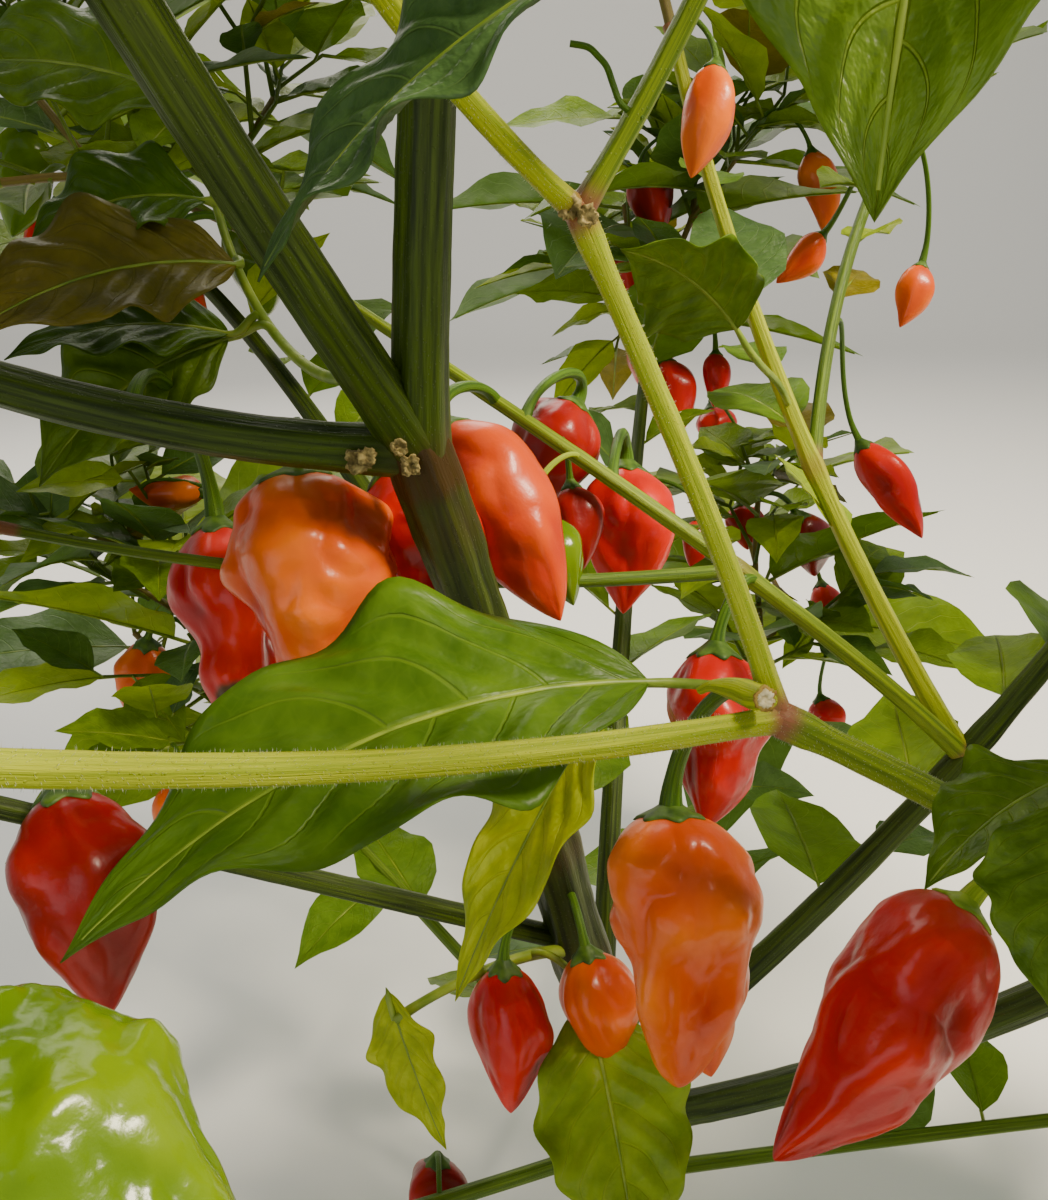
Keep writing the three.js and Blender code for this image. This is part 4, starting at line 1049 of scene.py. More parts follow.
def stem_material(name, dark, light, node_tint, cork_height=0.0):
    """Green stem with pale streaks along it, freckles, and a tint at its nodes. Where a height is
    given, it turns to cork below that."""
    made, nodes = material(name)
    around, length, tint = (nodes.painted(key) for key in ("around", "along", "tint"))
    place = nodes.out("ShaderNodeTexCoord", output="Object")
    angle = around * FULL_TURN
    streak = nodes.noise(nodes.combine(
        nodes.math("COSINE", angle) * STREAKS["across"],
        nodes.math("SINE", angle) * STREAKS["across"], length * STREAKS["along"],
    ), STREAKS["scale"], STREAKS["detail"])
    fine = nodes.combine(around * FIBRES["across"], 0.0, length * FIBRES["along"])
    fibre = nodes.noise(fine, 1.0, FIBRES["detail"])
    cells = {"Vector": place, "Scale": FRECKLES["scale"]}
    freckle = nodes.fall(
        nodes.out("ShaderNodeTexVoronoi", cells, "Distance"), *FRECKLES["edge"],
    )

    pale = nodes.rise(streak + fibre * FIBRES["share"], *STREAKS["edge"])
    near_node = nodes.rise(tint, *NODE_TINT["edge"]) * (fibre + NODE_TINT["least"])
    colour = nodes.colour(pale, dark, light)
    colour = nodes.colour(freckle * FRECKLES["share"], colour, FRECKLES["colour"])
    colour = nodes.colour(near_node, colour, node_tint)
    relief = fibre * FIBRES["relief"] + freckle * FRECKLES["relief"]
    if cork_height:
        height = nodes.out("ShaderNodeSeparateXYZ", {0: place}, "Z")
        grain = nodes.noise(fine, CORK["scale"], CORK["detail"])
        corky = nodes.rise(grain + CORK["least"] - height / cork_height, *CORK["edge"])
        colour = nodes.colour(corky, colour, nodes.colour(grain, CORK["dark"], CORK["light"]))
        relief += grain * corky * CORK["relief"]
    return finished(made, nodes, surface(nodes, colour, relief, **STEM_SURFACE))


# Places on a leaf are shares of its length and of its half width. A vein's width is given by
# where it starts to fade and where it ends.
SIDE_VEINS = dict(
    count=7.5, straight=0.1, bent=0.2, offset=0.22, width=(0.012, 0.045), share=0.5,
)
MIDRIB_WIDTH = (0.012, 0.05)
VEIN_ENDS = (0.72, 0.97)
LEAF_NET = dict(along=40.0, across=9.5, width=(0.02, 0.1), strength=0.1)
RIB_GLOW = dict(width=(0.03, 0.2), strength=0.18)
CLOUDS = dict(scale=0.16, detail=3.0, edge=(0.42, 0.92))
BLOTCHES = dict(scale=0.9, detail=2.0, share=0.3, relief=0.5)
SUNK_RIBS = -0.7
LEAF_SURFACE = dict(specular=0.3, depth=0.0006)
# How much of the light comes through a leaf, and how much of its own colour that keeps.
GLOW = dict(share=0.32, own=0.5)


def leaf_material(name, base, lit, vein, glow, roughness=0.4):
    """Leaf skin: a pale midrib, side veins that bend towards the tip, and a fine net between them."""
    made, nodes = material(name)
    map_place = nodes.add("ShaderNodeSeparateXYZ", {0: nodes.out("ShaderNodeUVMap", uv_map="OFBake")})
    u = Number(nodes, map_place.outputs["X"])
    v = Number(nodes, map_place.outputs["Y"]) * 2.0 - 1.0
    out = nodes.math("ABSOLUTE", v)

    midrib = nodes.fall(out, *MIDRIB_WIDTH)
    ahead = u - out * (out * SIDE_VEINS["bent"] + SIDE_VEINS["straight"])
    phase = ahead * SIDE_VEINS["count"] + nodes.math("SIGN", v) * SIDE_VEINS["offset"]
    away = nodes.math("ABSOLUTE", nodes.math("FRACT", phase + 8.0) - 0.5)
    side_vein = nodes.fall(away, *SIDE_VEINS["width"]) * nodes.fall(out, *VEIN_ENDS)
    ribs = nodes.math("MAXIMUM", midrib, side_vein * SIDE_VEINS["share"])
    net_place = nodes.combine(u * LEAF_NET["along"], v * LEAF_NET["across"])
    edges = nodes.out(
        "ShaderNodeTexVoronoi", {"Vector": net_place, "Scale": 1.0}, "Distance",
        feature="DISTANCE_TO_EDGE",
    )
    net = nodes.fall(edges, *LEAF_NET["width"]) * LEAF_NET["strength"]
    cloud, blotch = (
        nodes.noise(net_place, pattern["scale"], pattern["detail"]) for pattern in (CLOUDS, BLOTCHES)
    )

    # Clouds of the lit colour over the base colour are painted light: sunlit patches on the leaf.
    patch = nodes.rise(cloud + blotch * BLOTCHES["share"], *CLOUDS["edge"])
    colour = nodes.colour(patch, base, lit)
    colour = nodes.colour(nodes.math("MAXIMUM", ribs, net), colour, vein)
    colour = nodes.colour(nodes.fall(out, *RIB_GLOW["width"]) * RIB_GLOW["strength"], colour, vein)
    relief = ribs * SUNK_RIBS + (blotch * BLOTCHES["relief"] + cloud)
    skin = surface(nodes, colour, relief, roughness, **LEAF_SURFACE)
    lit_through = nodes.colour(GLOW["own"], colour, glow)
    through = nodes.out("ShaderNodeBsdfTranslucent", {"Color": lit_through})
    both = nodes.out("ShaderNodeMixShader", {0: GLOW["share"], 1: skin, 2: through})
    return finished(made, nodes, both)


# A pod's skin: how much its three patterns count in the colour and in the relief, how much the
# painted shade in its furrows and the painted highlight on its swellings count in the colour, and
# where the one colour goes over into the next.
POD_CLOUDS = dict(scale=38.0, detail=3.0, share=0.7, gloss=0.2)
POD_STREAKS = dict(scale=130.0, detail=3.0, share=0.12, relief=0.5)
PORES = dict(scale=900.0, detail=2.0, relief=0.08)
SWELLING_SHADING_SHARE = 0.5
DEEP_TO_MID = (0.28, 0.62)
MID_TO_BRIGHT = (0.58, 0.95)
ROT = dict(colour=(0.09, 0.05, 0.02), streaks=0.4, edge=(0.55, 0.8), rougher=0.4)
POD_SURFACE = dict(specular=0.28, depth=0.0007, Coat_Weight=0.1, Coat_Roughness=0.1)


def pod_material(name, deep, mid, bright, roughness=0.32):
    """Waxy pod skin: its colour runs from deep to bright in random clouds and streaks, and is painted
    darker in the furrows and brighter on the swellings as painted shade and painted highlight.
    """
    made, nodes = material(name)
    place = nodes.out("ShaderNodeTexCoord", output="Object")
    cloud, streak, pores = (
        nodes.noise(place, pattern["scale"], pattern["detail"])
        for pattern in (POD_CLOUDS, POD_STREAKS, PORES)
    )
    # The swelling shading paints shade into a pod's furrows and a highlight onto its swellings, over random
    # clouds of its own colour.
    share = cloud * POD_CLOUDS["share"] + nodes.painted("swelling_shading") * SWELLING_SHADING_SHARE
    share += streak * POD_STREAKS["share"]
    colour = nodes.colour(nodes.rise(share, *DEEP_TO_MID), deep, mid)
    colour = nodes.colour(nodes.rise(share, *MID_TO_BRIGHT), colour, bright)
    rot = nodes.rise(streak * ROT["streaks"] + nodes.painted("blemish"), *ROT["edge"])
    colour = nodes.colour(rot, colour, ROT["colour"])
    glossy = cloud * POD_CLOUDS["gloss"] + (roughness - POD_CLOUDS["gloss"] / 2)
    relief = streak * POD_STREAKS["relief"] + pores * PORES["relief"]
    waxy = surface(nodes, colour, relief, rot * ROT["rougher"] + glossy, **POD_SURFACE)
    return finished(made, nodes, waxy)


SOFT_PATCHES = dict(detail=4.0, edge=(0.35, 0.68))
PLAIN_SPECULAR = 0.4


def plain_material(name, dark, light, scale, roughness, depth=0.0003):
    """A finish of two near colours in soft patches, with a fine grain."""
    made, nodes = material(name)
    place = nodes.out("ShaderNodeTexCoord", output="Object")
    patch = nodes.noise(place, scale, SOFT_PATCHES["detail"])
    colour = nodes.colour(nodes.rise(patch, *SOFT_PATCHES["edge"]), dark, light)
    skin = surface(nodes, colour, patch, roughness, PLAIN_SPECULAR, depth)
    return finished(made, nodes, skin)


PURPLE = (0.27, 0.1, 0.05)
BROWN = (0.052, 0.026, 0.004)
CORK_HEIGHT = 0.075
STEM_SKINS = {
    key: stem_material(*looks) for key, *looks in (
        ("bark", "bark_green", (0.012, 0.02, 0.002), (0.055, 0.08, 0.006), BROWN, CORK_HEIGHT),
        ("old", "stem_deep_green", (0.014, 0.026, 0.002), (0.068, 0.108, 0.006), BROWN),
        ("green", "stem_green", (0.08, 0.14, 0.005), (0.26, 0.34, 0.012), PURPLE),
        ("young", "stem_yellow_green", (0.22, 0.29, 0.006), (0.44, 0.48, 0.02), PURPLE),
        ("twig", "twig_green", (0.05, 0.1, 0.006), (0.16, 0.25, 0.015), PURPLE),
        ("stalk", "stalk_green", (0.03, 0.08, 0.005), (0.1, 0.2, 0.01), (0.1, 0.2, 0.02)),
        ("lime stalk", "stalk_lime", (0.24, 0.36, 0.01), (0.44, 0.54, 0.03), (0.3, 0.42, 0.03)),
    )
}
LEAF_GREENS = dict(zip(LEAF_KINDS, (leaf_material(*looks) for looks in (
    ("leaf_deep", (0.056, 0.13, 0.004), (0.12, 0.225, 0.008), (0.17, 0.27, 0.015), (0.28, 0.44, 0.006)),
    ("leaf_mid", (0.076, 0.148, 0.004), (0.175, 0.285, 0.01), (0.27, 0.36, 0.025), (0.36, 0.52, 0.008)),
    ("leaf_blue", (0.038, 0.088, 0.022), (0.085, 0.165, 0.045), (0.15, 0.26, 0.06), (0.2, 0.36, 0.03),
     0.44),
    ("leaf_young", (0.19, 0.3, 0.004), (0.34, 0.46, 0.01), (0.4, 0.5, 0.02), (0.5, 0.64, 0.006)),
    ("leaf_bronze", (0.12, 0.1, 0.005), (0.23, 0.19, 0.01), (0.22, 0.2, 0.02), (0.36, 0.26, 0.008)),
    ("leaf_sunlit", (0.36, 0.44, 0.006), (0.6, 0.66, 0.02), (0.55, 0.6, 0.04), (0.6, 0.72, 0.01)),
))))
POD_SKINS = {
    key: pod_material(*looks) for key, *looks in (
        ("orange", "skin_orange", (0.42, 0.022, 0.0001), (0.68, 0.078, 0.0001), (0.88, 0.175, 0.0001)),
        ("red", "skin_red", (0.2, 0.001, 0.0006), (0.52, 0.004, 0.001), (0.76, 0.018, 0.001)),
        ("darkRed", "skin_dark_red", (0.09, 0.001, 0.0006), (0.24, 0.003, 0.001), (0.42, 0.01, 0.001)),
        ("lime", "skin_lime", (0.035, 0.085, 0.0001), (0.085, 0.16, 0.0001), (0.15, 0.235, 0.0002), 0.2),
        ("red orange", "skin_red_orange", (0.28, 0.007, 0.0002), (0.48, 0.026, 0.0002),
         (0.68, 0.075, 0.0002)),
    )
}
PLAIN_SKINS = {
    key: plain_material(*looks) for key, *looks in (
        ("rib", "leaf_rib_pale", (0.14, 0.22, 0.012), (0.26, 0.34, 0.03), 120.0, 0.45),
        ("cap", "calyx_green", (0.03, 0.075, 0.006), (0.085, 0.16, 0.014), 260.0, 0.5),
        ("lime cap", "calyx_lime", (0.2, 0.32, 0.012), (0.38, 0.5, 0.04), 260.0, 0.5),
        ("cork", "cork_scar", (0.12, 0.085, 0.02), (0.5, 0.38, 0.14), 560.0, 0.8, 0.0008),
        ("cut rim", "cut_rim", (0.26, 0.13, 0.02), (0.42, 0.3, 0.05), 500.0, 0.7),
        ("pith", "cut_pith", (0.5, 0.4, 0.2), (0.74, 0.66, 0.42), 900.0, 0.75),
        ("hair", "hair_pale", (0.55, 0.58, 0.42), (0.75, 0.76, 0.62), 300.0, 0.6),
    )
}


SKINS = {**STEM_SKINS, **POD_SKINS, **PLAIN_SKINS}
STEMS, BLADES, HAIRS = stem_tree(), blade_tree(), hair_tree()

# Each kind of stem: how finely it is made, its ridges with their height as a share of its radius,
# and the height of its lumps with how many there are to a metre.
STEM_MAKES = table(
    ("Sides", "Ring spacing", "Ridges", "Ridge height", "Lump height", "Lump scale"), [
        ("trunk", 56, 1.8 * MM, 7, 0.045, 1.0 * MM, 130.0),
        ("thick bough", 36, 2.2 * MM, 6, 0.05, 0.5 * MM, 120.0),
        ("bough", 24, 2.0 * MM, 5, 0.05, 0.25 * MM, 160.0),
        ("twig", 7, 4.0 * MM, 3, 0.04, 0.0, 90.0),
        ("rib", 5, 12.0 * MM, 3, 0.0, 0.0, 90.0),
        ("young rib", 4, 12.0 * MM, 3, 0.0, 0.0, 90.0),
        ("leaf stalk", 12, 2.0 * MM, 3, 0.03, 0.0, 90.0),
        ("pod stalk", 16, 1.5 * MM, 5, 0.05, 0.0, 90.0),
        ("small pod stalk", 8, 2.5 * MM, 3, 0.05, 0.0, 90.0),
        ("stub", 24, 0.6 * MM, 5, 0.04, 0.3 * MM, 300.0),
        ("curl", 10, 0.8 * MM, 3, 0.03, 0.0, 90.0),
    ],
)
LUMP_SEED = 3.0
JOINT_TINT = dict(ends=1.2, foot=1.2, tip=3, middle=0.45)
NODE_SWELL = dict(height=0.24, reach=6.5, tint=0.95)
FORK_SWELL = dict(height=0.14, reach=12.0, tint=0.5)
FORK_DOME = ((0.45, 0.9), (0.8, 0.6), (0.95, 0.25))
ROOTED = dict(before=0.05, after=0.02, back=0.5, narrow=0.75)
THICK_BOUGH = 9.0
STEM_STEP = 3.0
MASS_STEM_STEP = 5.0
TRUNK_FOOT = (0.0, 0.0, -6.0)
BUTTRESS_TURN = 0.4
BUTTRESS_SHARE = 0.8
TRUNK_SWELL = dict(height=0.12, reach=9.0, fork_at=0.95, fork_reach=14.0, fork_tint=0.45)
TWIG_TINT = 0.5
FINE_TWIG_TINT = 0.2

BLADE_FORM = {
    "Fold": 0.2, "Wave": 0.1, "Waves": 2.4, "Ripple": 0.03, "Pucker": 0.05, "Side veins": 7.5,
    "Petiole": 0.1,
}
RUFFLED = {**BLADE_FORM, "Wave": 0.17, "Waves": 3.2, "Ripple": 0.05, "Petiole": 0.0}
TONE_BOUNDS = (0.3, 0.58, 0.8, 0.97)
LEAF_PHASE = 2.4
RIB = dict(base=1.0, tip=0.28, below=0.35, ends=0.96)
# A rib's strength and steps, and a blade's steps along and across it, by the leaf's kind.
LARGE_LEAF = dict(rib=1.0, rib_steps=6, steps=(16, 4))
YOUNG_LEAF = dict(rib=0.7, rib_steps=4, steps=(10, 4))
SPRAY_LEAF = dict(
    rib=0.35, rib_to_width=90, rib_steps=14, stalk_steps=8, steps=(60, 24), thickness=0.3,
)


def bell(away, reach):
    """How near something is: 1 where it is, and less and less further away."""
    return math.exp(-((away / reach) ** 2))


def dress(made, nodes, slot):
    """Attaches a piece to the plant's body and hides the solids that it replaces. Its slot is not used."""
    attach(made, "root")
    for node in nodes:
        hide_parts(node)
    return made


def stems(name, strands, make, skin, nodes, slot="green_stem"):
    values = {**STEM_MAKES[make], "Seed": LUMP_SEED, "Finish": SKINS[skin]}
    return dress(made_by(STEMS, name, strands_mesh(name, strands), values), nodes, slot)


def leaf_piece(name, leaves, steps, form, nodes, slot, thickness=0.0):
    values = {**form, **LEAF_GREENS, "Steps along": steps[0] + 1, "Steps across": steps[1] + 1}
    return dress(made_by(BLADES, name, blades_mesh(name, leaves), values, thickness), nodes, slot)


def closed_piece(name, shapes, skin, nodes, slot="green_stem"):
    """A piece of closed skins, each given as its corners, faces and the painted shading of its swellings.
    """
    corners, faces, swelling_shadings = [], [], []
    for shape_corners, shape_faces, shape_swelling_shadings in shapes:
        first = len(corners)
        corners += shape_corners
        faces += [tuple(first + index for index in face) for face in shape_faces]
        swelling_shadings += shape_swelling_shadings
    mesh = mesh_from(name, corners, faces)
    set_values(mesh, "swelling_shading", swelling_shadings)
    shape = bmesh.new()
    shape.from_mesh(mesh)
    bmesh.ops.recalc_face_normals(shape, faces=shape.faces[:])
    for face in shape.faces:
        face.smooth = True
    shape.to_mesh(mesh)
    shape.free()
    mesh.materials.append(SKINS[skin])
    return dress(piece(name, mesh), nodes, slot)


def smooth_path(points, every):
    """The points of a smooth line through a path's points, about evenly spaced, with their shares."""
    line = []
    last = len(points) - 1
    for index in range(last):
        near = [points[min(max(index + k, 0), last)] for k in (-1, 0, 1, 2)]
        count = max(1, round(math.dist(near[1], near[2]) / every))
        for number in range(count):
            t = number / count
            weights = (
                (-t + 2 * t ** 2 - t ** 3) / 2, (2 - 5 * t ** 2 + 3 * t ** 3) / 2,
                (t + 4 * t ** 2 - 3 * t ** 3) / 2, (-t ** 2 + t ** 3) / 2,
            )
            line.append((weighed(weights, near), (index + t) / last))
    return line + [(points[-1], 1.0)]


def node_tint(near, joint):
    """How purple a stem is near one of its joints: most where it starts, least in its middle."""
    if joint == 0:
        return min(JOINT_TINT["ends"] * near ** JOINT_TINT["foot"], 1.0)
    if joint == 1:
        return min(JOINT_TINT["ends"] * near ** JOINT_TINT["tip"], 1.0)
    return JOINT_TINT["middle"] * near


def stem_strand(path, limb, joints, swell, every=STEM_STEP):
    """A strand along a limb's path that swells and takes a tint where something joins it."""
    length = path_length(path)
    strand = []
    for place, share in smooth_path(path, every):
        near = [bell((share - joint) * length, swell["reach"]) for joint in joints]
        radius = width_of(limb)(share) / 2 * (1 + swell["height"] * min(sum(near), 1.0))
        strand.append((place, radius, swell["tint"] * max(map(node_tint, near, joints))))
    return strand


def rooted(strand, name):
    """Starts a limb's strand a little way back inside its parent, so that a fork runs together, and
    rounds its end off where others fork from it."""
    limb = LIMBS[name]
    if "parent" in limb:
        path, at = limb_paths[limb["parent"]], limb["at"]
        before, after = max(at - ROOTED["before"], 0.0), min(at + ROOTED["after"], 1.0)
        ahead = unit(minus(along(path, after), along(path, before)))
        place, radius, tint = strand[0]
        back = -ROOTED["back"] * width_of(LIMBS[limb["parent"]])(at)
        strand.insert(0, (plus(place, ahead, back), radius * ROOTED["narrow"], tint))
    if any(other.get("parent") == name and other["at"] == 1 for other in LIMBS.values()):
        end, radius, tint = strand[-1]
        ahead = unit(minus(end, strand[-2][0]))
        for share, narrow in FORK_DOME:
            strand.append((plus(end, ahead, share * radius), narrow * radius, tint))
    return strand


def joints_on(name):
    """Where other limbs and stems join a limb, as shares of its length."""
    others = (*LIMBS.values(), *MASS_STEMS.values())
    return [other["at"] for other in others if other.get("parent") == name]


def trunk_strand():
    """The trunk starts below the ground's plane and flares towards it."""
    limb, path = LIMBS["trunk"], [TRUNK_FOOT, *limb_paths["trunk"]]
    top = path[-1][2]
    strand = []
    for place, _ in smooth_path(path, STEM_STEP):
        share = max(place[2], 0.0) / top
        aways = [(share - joint) * limb["length"] for joint in joints_on("trunk")]
        near = sum(bell(away, TRUNK_SWELL["reach"]) for away in aways)
        fork = bell((share - TRUNK_SWELL["fork_at"]) * limb["length"], TRUNK_SWELL["fork_reach"])
        flare = 1 + ROOT_FLARE["spread"] * math.exp(-(share * top) / ROOT_FLARE["height"])
        swell = 1 + TRUNK_SWELL["height"] * min(near + fork, 1.0)
        tint = max(near * FORK_SWELL["tint"], TRUNK_SWELL["fork_tint"] * fork)
        strand.append((place, width_of(limb)(share) * flare / 2 * swell, tint))
    return rooted(strand, "trunk")


def make_trunk():
    """The trunk spreads into low buttresses, and is cut off flat at the ground."""
    made = stems("trunk_skin", [trunk_strand()], "trunk", "bark", ["trunk"], "trunk_bark")
    shape = bmesh.new()
    shape.from_mesh(made.data)
    for corner in shape.verts:
        angle = math.atan2(corner.co.y, corner.co.x)
        low = math.exp(-max(corner.co.z, 0.0) / (ROOT_FLARE["height"] * MM))
        waves = math.cos(ROOT_FLARE["buttresses"] * angle + BUTTRESS_TURN)
        spread = 1 + ROOT_FLARE["buttress"] * BUTTRESS_SHARE * low * waves
        corner.co.x *= spread
        corner.co.y *= spread
    cut = bmesh.ops.bisect_plane(
        shape, geom=shape.verts[:] + shape.edges[:] + shape.faces[:],
        plane_co=ORIGIN, plane_no=UP, clear_inner=True,
    )
    rim = [edge for edge in cut["geom_cut"] if isinstance(edge, bmesh.types.BMEdge)]
    foot = bmesh.ops.contextual_create(shape, geom=rim)["faces"]
    for face in foot:
        face.smooth = False
    bmesh.ops.recalc_face_normals(shape, faces=foot)
    shape.to_mesh(made.data)
    shape.free()


def make_boughs():
    made = {}
    for name, limb in LIMBS.items():
        if name == "trunk":
            continue
        thick = limb["base"] > THICK_BOUGH
        swell, make = (FORK_SWELL, "thick bough") if thick else (NODE_SWELL, "bough")
        strand = stem_strand(limb_paths[name], limb, joints_on(name) + [0.0, 1.0], swell)
        made[name] = stems(name + "_skin", [rooted(strand, name)], make, limb["skin"], [name])
    return made


def mass_strands():
    """The twigs of the masses, with the finer ones. A mass's first twig carries on from its stem or
    from the bough that it grows on."""
    strands = []
    for mass in masses.values():
        twigs = [[(*corner, TWIG_TINT) for corner in line] for line in mass.lines]
        start = [(mass.path[-1], *twigs[0][0][1:])]
        if mass.stem:
            start = stem_strand(mass.path, mass.stem, [0.0, 1.0], NODE_SWELL, MASS_STEM_STEP)
        twigs[0][:1] = start
        strands += twigs
    return strands + [[(*corner, FINE_TWIG_TINT) for corner in line] for line in finer_lines]


def rib_strand(leaf, share, steps):
    """The petiole and midrib of a leaf, held a little under its blade."""
    strand = []
    for step in range(steps + 1):
        t = RIB["ends"] * step / steps
        radius = width_of(RIB)(t) * share
        place = plus(plus(leaf["root"], leaf["ahead"], t), leaf["bend"], t * t)
        face = unit(cross(leaf["side"], plus(leaf["ahead"], leaf["bend"], 2 * t)))
        strand.append((plus(place, face, -radius * RIB["below"]), radius, 0.0))
    return strand


def make_foliage():
    """Twigs and leaves of the masses, with the finer growth between them."""
    grown = [leaf for mass in masses.values() for leaf in mass.leaves]
    ribs = [rib_strand(leaf, LARGE_LEAF["rib"], LARGE_LEAF["rib_steps"]) for leaf in grown]
    young_ribs = [
        rib_strand(leaf, YOUNG_LEAF["rib"], YOUNG_LEAF["rib_steps"]) for leaf in finer_leaves
    ]
    stems("twigs", mass_strands(), "twig", "twig", MASSES, "foliage")
    stems("leaf_ribs", ribs, "rib", "rib", MASSES, "foliage")
    stems("young_leaf_ribs", young_ribs, "young rib", "rib", MASSES, "foliage")
    leaf_piece("large_leaves", grown, LARGE_LEAF["steps"], BLADE_FORM, MASSES, "foliage")
    leaf_piece("young_leaves", finer_leaves, YOUNG_LEAF["steps"], BLADE_FORM, MASSES, "foliage")


def spray_leaf(origin, record):
    """A leaf of a spray, and the stalk that holds its blade."""
    first = heading(record["bearing"], record["rise"])
    stalk = stalk_path(origin, record["reach"], first, SPRAY_LEAF["stalk_steps"])
    base = stalk[-1]
    path = walk(base, record, BLADE_STEPS)
    tip = minus(path[-1], base)
    bend = plus(scaled(tip, 2.0), minus(along(path, 0.5), base), -4.0)
    ahead = minus(tip, bend)
    side = turned(unit(cross(ahead, UP)), unit(ahead), record["roll"])
    return blade(base, ahead, bend, side, record["width"], record["tone"]), stalk


def make_sprays():
    """Single leaves and sprays of the open middle, drawn finely."""
    for name, spray in SPRAYS.items():
        twig = [foot_of(spray)] * 2
        leaves, strands = [], []
        if "twig" in spray:
            twig = walk(twig[0], spray["twig"])
            strands.append(stem_strand(twig, spray["twig"], [0.0, 1.0], NODE_SWELL))
        for record in spray["leaves"]:
            leaf, stalk = spray_leaf(along(twig, record["at"]), record)
            strength = SPRAY_LEAF["rib"] + record["width"] / SPRAY_LEAF["rib_to_width"]
            rib = rib_strand(leaf, strength, SPRAY_LEAF["rib_steps"])
            strands.append([(point, STALK["leaf_stalk"] / 2, 0.0) for point in stalk[:-1]] + rib)
            leaves.append(leaf)
        sizes = (SPRAY_LEAF["steps"], RUFFLED, [name], "leaf", SPRAY_LEAF["thickness"])
        leaf_piece(name + "_blades", leaves, *sizes)
        stems(name + "_stalks", strands, "leaf stalk", "rib", [name], "leaf")


# Pods: a lobed, wrinkled body under a green cap, on a bent stalk. How deeply a pod is dented is
# given for its broad dents and creases, for its small bumps and for its finest ones.
POD_BEND = dict(share=0.04, lower=1.3)
# Rings lie closer together near a pod's ends by this share, and its dents fade out there.
CLOSER_RINGS = 0.6
QUIET_ENDS = (0.16, 0.05)
# Places in the seeded noise: how far round a pod reaches in it, the length that is one step of
# it, and how far apart two pods are.
NOISE_PLACE = dict(around=0.62, length=24, seed=7.3)
# Each kind of dent: how often it comes, and its depth as a share of the pod's half width.
BROAD_DENT = dict(often=1.5, depth=0.22)
CREASE = dict(often=Vector((2.3, 2.3, 1.5)), depth=0.16, middle=0.2)
BUMP = dict(often=4.2, depth=0.025)
FINE_BUMP = dict(often=8.7, depth=0.025)
LOBE_SHARE = 0.8
# How a pod's lift out of its plain form turns into painted shade in its furrows and a painted highlight on
# its swellings.
SWELLING_SHADING = dict(middle=0.5, strength=2.4)
SHOWN_POD_STEPS = (96, 80)
NEAR_POD_STEPS = (150, 120)
SMALL_POD_STEPS = (36, 28)
POD_SLOTS = {"orange": "pod_orange", "red": "pod_red", "darkRed": "pod_dark_red", "lime": "pod_lime"}
RED_ORANGE = "pod_slanting"
LIME_CAPS = ("pod_large_red", "pod_near_lime", "pod_small_lime")
SMALL_POD_DENTS = (1.0, 1.0, 0.0)
POD_DENTS = (1.0, 1.3, 0.0)
DEEPER_DENTS = {
    "pod_near_lime": (1.0, 2.6, 1.2), "pod_orange_wrinkled": (1.3, 1.8, 0.3),
    "pod_two_horned": (1.1, 1.8, 0.3), "pod_large_red": (1.0, 1.2, 0.25),
}
HORN = dict(
    pod="pod_two_horned", lean=(0.3, 0.0, 0.06), width=0.5, shorter=0.02, steps=(40, 40),
)
ROT_SPOT = dict(pod="pod_red_waisted", at=(-118.5, -35.5, 252.1), radius=7.0)
DEALT_COLOURS = ("red", "orange", "red", "darkRed", "lime")
HUNG_STALK = 1.9
CAP = dict(
    radius=0.27, teeth=6, notch=0.24, rise=1.7, sunk=0.7, uneven=(0.85, 1.15), blunt=0.8,
    sides=48, small_sides=18, first_seed=50,
)
# How much a stalk swells at its two ends, and over what share of its length. It goes on into
# the cap for a short way.
STALK_ENDS = dict(foot=0.35, foot_reach=0.08, cap=0.5, cap_reach=0.1)
STALK_TAPER = (0.8, 0.25)
IN_CAP = dict(length=1.5, radius=0.7)
STALK_TO_WIDTH = 32
SHOWN_STALK_STEPS = 12
DEALT_STALK_STEPS = 6
HUNG_STALK_STEPS = 8
CAP_RINGS = (
    (0.0, -1.3), (0.22, -1.2), (0.34, -0.85), (0.5, -0.4), (0.72, -0.1), (0.9, 0.0),
    (1.0, 0.25), (0.9, 0.7), (0.55, 1.1), (0.0, 1.2),
)


def form_of(pod):
    return {**POD_FORM, **pod.get("form", {})}


def pod_radius(share, pod):
    """Half the width of a pod's body at a share of its length."""
    form = form_of(pod)
    body = math.sin(math.pi * share ** form["shoulder"]) ** form["fullness"]
    waist = pod.get("waist", 0.0) * bell(share - form["waist_at"], form["waist_length"])
    return pod["width"] / 2 * body * (1 - waist)


def shoulder_share(radius_share, pod):
    """At what share of its length a pod's shoulder has a given share of its full half width."""
    form = form_of(pod)
    swell = min(radius_share, 0.98) ** (1 / form["fullness"])
    return (math.asin(swell) / math.pi) ** (1 / form["shoulder"])


def frame_of(ahead):
    side = unit(cross(ahead, (0.37, 0.93, 0.0)))
    return side, cross(ahead, side)


def ring_faces(rings, sides):
    """Faces between rings of corners that start and end in one point."""
    faces = []
    for number in range(sides):
        following = (number + 1) % sides
        faces.append((0, 1 + following, 1 + number))
        for ring in range(rings - 2):
            a, b = 1 + ring * sides + number, 1 + ring * sides + following
            faces.append((a, b, b + sides, a + sides))
        last = 1 + (rings - 2) * sides
        faces.append((last + number, last + following, last + sides))
    return faces


